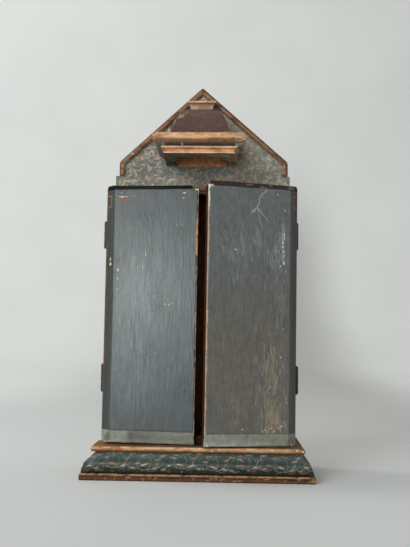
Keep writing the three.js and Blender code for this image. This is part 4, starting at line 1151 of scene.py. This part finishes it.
def make_canopy():
    soffit = remeshed("canopy_soffit", 0.62)
    low, high = (np.array(corner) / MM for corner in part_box("canopy_soffit"))
    narrower = 1 - 0.036 * smooth(soffit.at[:, 2], low[2], low[2] + 1)
    soffit.at[:, 0] = APEX[0] + (soffit.at[:, 0] - APEX[0]) * narrower
    # The gilding is painted lighter here, as painted light on the strip that the roll above shades
    broad, fine = paint_gilding(soffit, 171, 1.9, 0.2)
    height = soffit.at[:, 2]
    third = (high[2] - low[2]) / 3
    # Lines across the strip: darker ones through its middle, and pale gold painted highlights along its top and bottom
    # edges
    for level, colour, amount in (
        (low[2] + third, srgb(150, 98, 62), 0.7), (high[2] - third, srgb(120, 80, 50), 0.55),
        (high[2] - 0.6, PALE_GOLD, 0.7), (low[2] + 1.0, PALE_GOLD, 0.5),
    ):
        soffit.paint(colour, amount * np.exp(-((height - level) ** 2) / 0.5) * (0.6 + 0.6 * fine), 0.5)
    under = smooth(low[2] + 0.5 - height, 0, 0.3)
    under_tone = (0.85 + 0.7 * fine) * (1 + 1.1 * smooth(soffit.at[:, 0], -12, 30))
    soffit.paint(np.outer(under_tone, srgb(120, 106, 84)), under, 0.3)
    soffit.paint(srgb(78, 56, 42), 0.7 * under * smooth(broad, 0.45, 0.6), 0.2)
    within = np.hypot(soffit.at[:, 0] - APEX[0], np.minimum(soffit.at[:, 1] - 22.9, 0)) < 27.9
    rim = within & (height > low[2] + 0.3)
    soffit.paint(np.outer(0.6 + 0.6 * fine, srgb(190, 112, 62)), rim.astype(float), 0.4)
    # Painted shadow: a dark line along the niche's front edge
    line = np.hypot(soffit.at[:, 0] - APEX[0], np.minimum(soffit.at[:, 1] - 22.9, 0))
    soffit.paint(srgb(40, 26, 18), under * np.exp(-((line - 28.2) ** 2) / 0.5), 0.2)
    sideways = smooth(np.abs(soffit.facing[:, 0]), 0.5, 0.8) * (1 - rim)
    soffit.paint(srgb(112, 112, 100), 0.85 * sideways, 0.3)
    returns = smooth(soffit.at[:, 0], high[0] - 1.6, high[0] - 0.6)
    soffit.paint(GESSO, 0.8 * returns * smooth(fine, 0.45, 0.6), 0)
    worn = wear_edges(soffit, 0.10, 0.4, 172, 2.5)
    soffit.paint(PALE_GOLD, 0.5 * worn * (1 - under), 0.3)
    soffit.paint(srgb(226, 186, 160), 0.22 * (1 - under) * (1 - rim), 0.4)
    soffit.finish("cabinet", "gilding", MATERIALS["gilt"], ["canopy_soffit"])

    cornice = remeshed("canopy_cornice", 0.72)
    low, high = (np.array(corner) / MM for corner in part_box("canopy_cornice"))
    broad, fine = paint_gilding(cornice, 181, 1.1, 0.45)
    height = cornice.at[:, 2].copy()
    roll = smooth(height, high[2] - 9.8, high[2] - 8.6)
    cornice.at[:, 2] += 0.8 * roll + 1.0 * smooth(height, high[2] - 5, high[2])
    # Painted shade on the lower half of the roll, and painted highlights on its upper half
    shaded = smooth(high[2] - 5.2 - height + 2.4 * (broad - 0.5), -0.6, 1.6)
    cornice.paint(srgb(120, 76, 48), 0.75 * roll * shaded, 0.4)
    cornice.paint(PALE_GOLD, 0.5 * roll * smooth(fine, 0.5, 0.7) * (1 - shaded), 0.6)
    cornice.paint(np.outer(0.6 + 0.8 * fine, srgb(92, 72, 56)), 1 - roll, 0.2)
    under = smooth(-cornice.facing[:, 2], 0.7, 0.95) * (1 - roll)
    cornice.paint(srgb(96, 94, 84), 0.8 * under, 0.3)
    # The cornice's ends beside the soffit are painted near white, then light grey: painted light where the roll above
    # shades them
    beside = smooth(np.abs(cornice.at[:, 0] - APEX[0]), 35, 37) * (1 - roll)
    beside *= smooth(high[2] - 8.5 - height, 0, 2.5)
    cornice.paint(np.outer(0.75 + 0.5 * fine, srgb(222, 222, 208)), 0.93 * beside, 0.3)
    within = np.hypot(cornice.at[:, 0] - APEX[0], np.minimum(cornice.at[:, 1] - 22.9, 0)) < 27.9
    cornice.paint(np.outer(0.6 + 0.6 * fine, srgb(112, 62, 32)), (within & (height < 338)).astype(float), 0.4)
    left_end = smooth(low[0] + 8 - cornice.at[:, 0], 0, 5)
    cornice.paint(srgb(196, 146, 124), 0.75 * left_end * roll * smooth(fine, 0.3, 0.6), 0.2)
    right_chips = smooth(cornice.at[:, 0], 33, 36) * smooth(high[2] - 4 - height, 0, 3) * smooth(fine, 0.5, 0.62)
    cornice.paint(GESSO, 0.9 * right_chips, 0)
    cornice.push(0.7 * right_chips)
    worn = wear_edges(cornice, 0.12, 0.5, 182, 3.5)
    cornice.push(0.3 * (broad - 0.5) + 0.45 * (fine - 0.5) * roll)
    dab(cornice, cornice.at[:, [0, 2]], (-19.9, 331.4), (1.2, 0.9), GESSO, 183)
    cornice.paint(srgb(150, 104, 68), 0.4 * worn, 0.3)
    # The ends again, light grey as painted light, save the chips
    cornice.paint(np.outer(0.8 + 0.5 * fine, srgb(168, 170, 158)), 0.8 * beside * (1 - right_chips), 0.2)
    returning = roll * smooth(cornice.at[:, 1] - low[1] - 9, 0, 3) * smooth(-cornice.facing[:, 2], 0.1, 0.4)
    cornice.paint(np.outer(0.7 + 0.6 * fine, srgb(176, 176, 164)), 0.8 * returning, 0.2)
    outermost = smooth(np.abs(cornice.at[:, 0] - APEX[0]), 38, 40) * smooth(high[2] - 8.5 - height, 0, 1.5)
    cornice.paint(srgb(118, 122, 114), 0.85 * outermost * (1 - right_chips), 0.2)
    cornice.finish("cabinet", "gilding", MATERIALS["gilt"], ["canopy_cornice"])

    roof = remeshed("canopy_roof", 0.95)
    broad = grain(roof.at, (14, 14, 10), 191)
    fine = grain(roof.at, (3, 3, 3), 192)
    roof.paint(np.outer(0.75 + 0.5 * broad, srgb(82, 54, 45)), 1, 0.6)
    roof.paint(srgb(104, 80, 66), 0.4 * smooth(fine, 0.5, 0.72), 0.3)
    roof.paint(srgb(60, 38, 32), 0.5 * smooth(broad, 0.5, 0.7), 0.5)
    ruddy = soft_spot(roof.at[:, [0, 2]], (0, 371), (13, 6)) * smooth(fine, 0.3, 0.6)
    roof.paint(srgb(124, 78, 60), 0.6 * ruddy, 0.5)
    flat = roof.at[:, [0, 2]]
    for root, heading, length in (
        ((-27, 362), 1.1, 10), ((-22, 370), 0.7, 8), ((-31, 354), 1.3, 9), ((-24, 364), 0.9, 7),
        ((21, 372), 2.3, 6),
    ):
        shape = leaf(root, heading, length, 0.9, 0.8)
        roof.paint(srgb(170, 158, 130), 0.8 * stroke(flat, *shape) * smooth(fine, 0.25, 0.45), 0.3)
    worn = wear_edges(roof, 0.10, 0.5, 193, 4)
    roof.paint(srgb(132, 104, 80), 0.55 * worn * smooth(fine, 0.35, 0.6), 0.2)
    roof.finish("cabinet", "red_brown", MATERIALS["red"], ["canopy_roof"])

    cap = remeshed("canopy_cap", 0.4)
    broad, fine = paint_gilding(cap, 201, 0.95, 0.35)
    cap.paint(srgb(202, 170, 148), 0.5, 0.5)
    cap.at[:, 2] -= 0.5
    top = smooth(cap.at[:, 2], 390.4, 391.2)
    cap.paint(PALE_GOLD, 0.6 * top * smooth(fine, 0.3, 0.6), 0.4)
    cap.paint(srgb(140, 108, 86), 0.5 * (1 - top) * smooth(broad, 0.4, 0.6), 0.3)
    wear_edges(cap, 0.08, 0.35, 202, 2)
    cap.finish("cabinet", "gilding", MATERIALS["gilt"], ["canopy_cap"])


# Case

def make_case():
    for node in ("case_left_side", "case_right_side"):
        side = remeshed(node, 1.8)
        broad, fine = grain(side.at, (20, 20, 30), 211), grain(side.at, (3, 3, 8), 212)
        side.paint(np.outer(0.75 + 0.5 * broad, srgb(58, 62, 60)), 1, 0.6)
        side.paint(srgb(96, 84, 68), 0.5 * smooth(fine, 0.55, 0.75), 0.2)
        inner = smooth(91 - np.abs(side.at[:, 0]), 0, 1)
        side.paint(np.outer(0.7 + 0.6 * fine, srgb(82, 58, 42)), inner, 0.15)
        worn = wear_edges(side, 0.16, 0.7, 213, 5)
        side.paint(srgb(112, 82, 60), 0.8 * worn * smooth(fine, 0.35, 0.6), 0.1)
        side.finish("cabinet", "case_paint", MATERIALS["case"], [node])
    top = remeshed("case_top", 1.3)
    broad, fine = grain(top.at, (24, 12, 10), 221), grain(top.at, (8, 3, 3), 222)
    height = top.at[:, 2]
    top.paint(np.outer(0.75 + 0.5 * broad, srgb(62, 52, 42)), 1, 0.3)
    # The front edge is painted dark as painted shade, except by the gap in the middle, where it is pinkish brown
    front = smooth(-12.5 - top.at[:, 1], 0, 0.8)
    bared = smooth(9 - np.abs(top.at[:, 0] + 3), 0, 3)
    top.paint(srgb(36, 33, 28), 0.9 * front * (1 - bared), 0.0)
    top.paint(srgb(132, 98, 80), 0.8 * front * bared * smooth(height, 285.6, 286.4), 0.1)
    # Painted shade: a dark line in the front edge's groove
    top.paint(srgb(34, 22, 16), front * np.exp(-((height - 284.9) ** 2) / 0.4), 0.1)
    top.paint(srgb(150, 108, 76), 0.8 * front * np.exp(-((height - 283.2) ** 2) / 0.7), 0.2)
    worn = wear_edges(top, 0.14, 0.3, 223, 5)
    top.paint(srgb(84, 66, 52), 0.5 * worn * smooth(fine, 0.4, 0.65) * (1 - front), 0.1)
    groove = front * np.exp(-((height - 284.9) ** 2) / 0.5)
    top.at[:, 1] += 1.2 * groove
    top.finish("cabinet", "bare_wood", MATERIALS["case"], ["case_top"])
    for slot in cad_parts["case_floor"].material_slots:
        slot.material = MATERIALS["floor"]
    for name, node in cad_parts.items():
        if "hinge" in name:
            for slot in node.material_slots:
                slot.material = MATERIALS["iron"]


# Camera, light and stage

def make_camera():
    forward = Vector((
        math.sin(CAMERA_YAW) * math.cos(CAMERA_PITCH), math.cos(CAMERA_YAW) * math.cos(CAMERA_PITCH),
        math.sin(CAMERA_PITCH),
    ))
    level = Vector((math.cos(CAMERA_YAW), -math.sin(CAMERA_YAW), 0))
    above = level.cross(forward)
    right = level * math.cos(CAMERA_ROLL) + above * math.sin(CAMERA_ROLL)
    up = above * math.cos(CAMERA_ROLL) - level * math.sin(CAMERA_ROLL)
    lens = bpy.data.cameras.new("camera")
    lens.sensor_fit = "VERTICAL"
    lens.sensor_height = SENSOR_HEIGHT
    lens.lens = SENSOR_HEIGHT * FOCAL_PIXELS / IMAGE_HEIGHT
    lens.clip_start = 0.01
    camera = bpy.data.objects.new("camera", lens)
    camera.matrix_world = Matrix.Translation(Vector(CAMERA_AT) * MM) @ Matrix((right, up, -forward)).transposed().to_4x4()
    bpy.context.scene.collection.objects.link(camera)
    bpy.context.scene.camera = camera


def add_light(name, at, aim, size, power, colour):
    data = bpy.data.lights.new(name, "AREA")
    data.shape = "RECTANGLE"
    data.size, data.size_y = size
    data.energy = power
    data.color = colour
    light = bpy.data.objects.new(name, data)
    light.location = at
    light.rotation_euler = (Vector(aim) - Vector(at)).to_track_quat("-Z", "Y").to_euler()
    bpy.context.scene.collection.objects.link(light)


def make_stage():
    """A pale floor that curves up into a backdrop, well behind the altar, with painted shading in its colour."""
    half_width, near, bend_start, bend, height = 5.0, -4.0, 1.6, 1.2, 5.0
    path = [(near, 0.0), (bend_start, 0.0)]
    for angle in np.linspace(0, math.pi / 2, 25)[1:]:
        path.append((bend_start + bend * math.sin(angle), bend * (1 - math.cos(angle))))
    path.append((bend_start + bend, height))
    points = [(x, y, z) for y, z in path for x in (-half_width, half_width)]
    faces = [(2 * i, 2 * i + 1, 2 * i + 3, 2 * i + 2) for i in range(len(path) - 1)]
    mesh = bpy.data.meshes.new("stage")
    mesh.from_pydata(points, [], faces)
    mesh.polygons.foreach_set("use_smooth", [True] * len(faces))
    stage = bpy.data.objects.new("stage", mesh)
    bpy.context.scene.collection.objects.link(stage)
    shade = Shade("pale_stage")
    cloud = shade.noise((3, 3, 3), 2.0)
    base = shade.mix(shade.fit(cloud, 0.3, 0.7), rgba(srgb(230, 232, 230)), rgba(srgb(234, 236, 234)))
    place = shade.node("ShaderNodeSeparateXYZ", i0=shade.place)
    # Painted shading: darker towards the front and lighter towards the right
    nearer = shade.fit(place.outputs[1], -0.7, 1.6, 0.76, 1.0)
    aside = shade.fit(place.outputs[0], -1.0, 1.2, 0.975, 1.07)
    # A painted soft shadow on the backdrop behind the altar, strongest far back and low down, across the middle
    nearness = shade.math("DIVIDE", 1.0, shade.math("ADD", place.outputs[1], -CAMERA_AT[1] * MM))
    behind = shade.math("MULTIPLY", shade.fit(nearness, 1.3, 0.38), shade.fit(place.outputs[2], 1.15, 0.45))
    middle = shade.math("MULTIPLY", shade.fit(place.outputs[0], 0.62, 0.30), shade.fit(place.outputs[0], -0.62, 0.1))
    soft = shade.math("SUBTRACT", 1.0, shade.math("MULTIPLY", shade.math("MULTIPLY", behind, middle), 0.40))
    tone = shade.math("MULTIPLY", shade.math("MULTIPLY", nearer, aside), soft)
    tint = shade.node("ShaderNodeCombineXYZ", i0=tone, i1=tone, i2=tone).outputs[0]
    base = shade.mix(1.0, base, tint, "MULTIPLY")
    shade.set(shade.shader.inputs["Base Color"], base)
    shade.shader.inputs["Roughness"].default_value = 0.9
    mesh.materials.append(shade.material)


def make_light():
    world = bpy.data.worlds.new("studio")
    world.use_nodes = True
    world.node_tree.nodes["Background"].inputs["Color"].default_value = (1.0, 0.99, 0.98, 1)
    world.node_tree.nodes["Background"].inputs["Strength"].default_value = 0.42
    bpy.context.scene.world = world
    add_light("window", (-1.3, -1.4, 1.2), (0, 0, 0.2), (1.2, 1.2), 22, (0.96, 0.99, 1.0))
    add_light("sheen", (-0.47, -2.0, 0.30), (-0.07, 0, 0.17), (0.6, 0.5), 6, (0.95, 1.0, 1.0))
    add_light("backdrop_wash", (-1.6, 0.4, 2.4), (-0.3, 2.8, 0.9), (1.6, 1.6), 30, (1.0, 1.0, 1.0))
    bpy.context.scene.view_settings.view_transform = "Standard"


make_camera()
make_stage()
make_light()
for door in ("left", "right"):
    make_door(door)
make_board()
make_border(-1)
make_border(1)
make_base_moulding()
make_ledge()
make_foot()
make_canopy()
make_case()
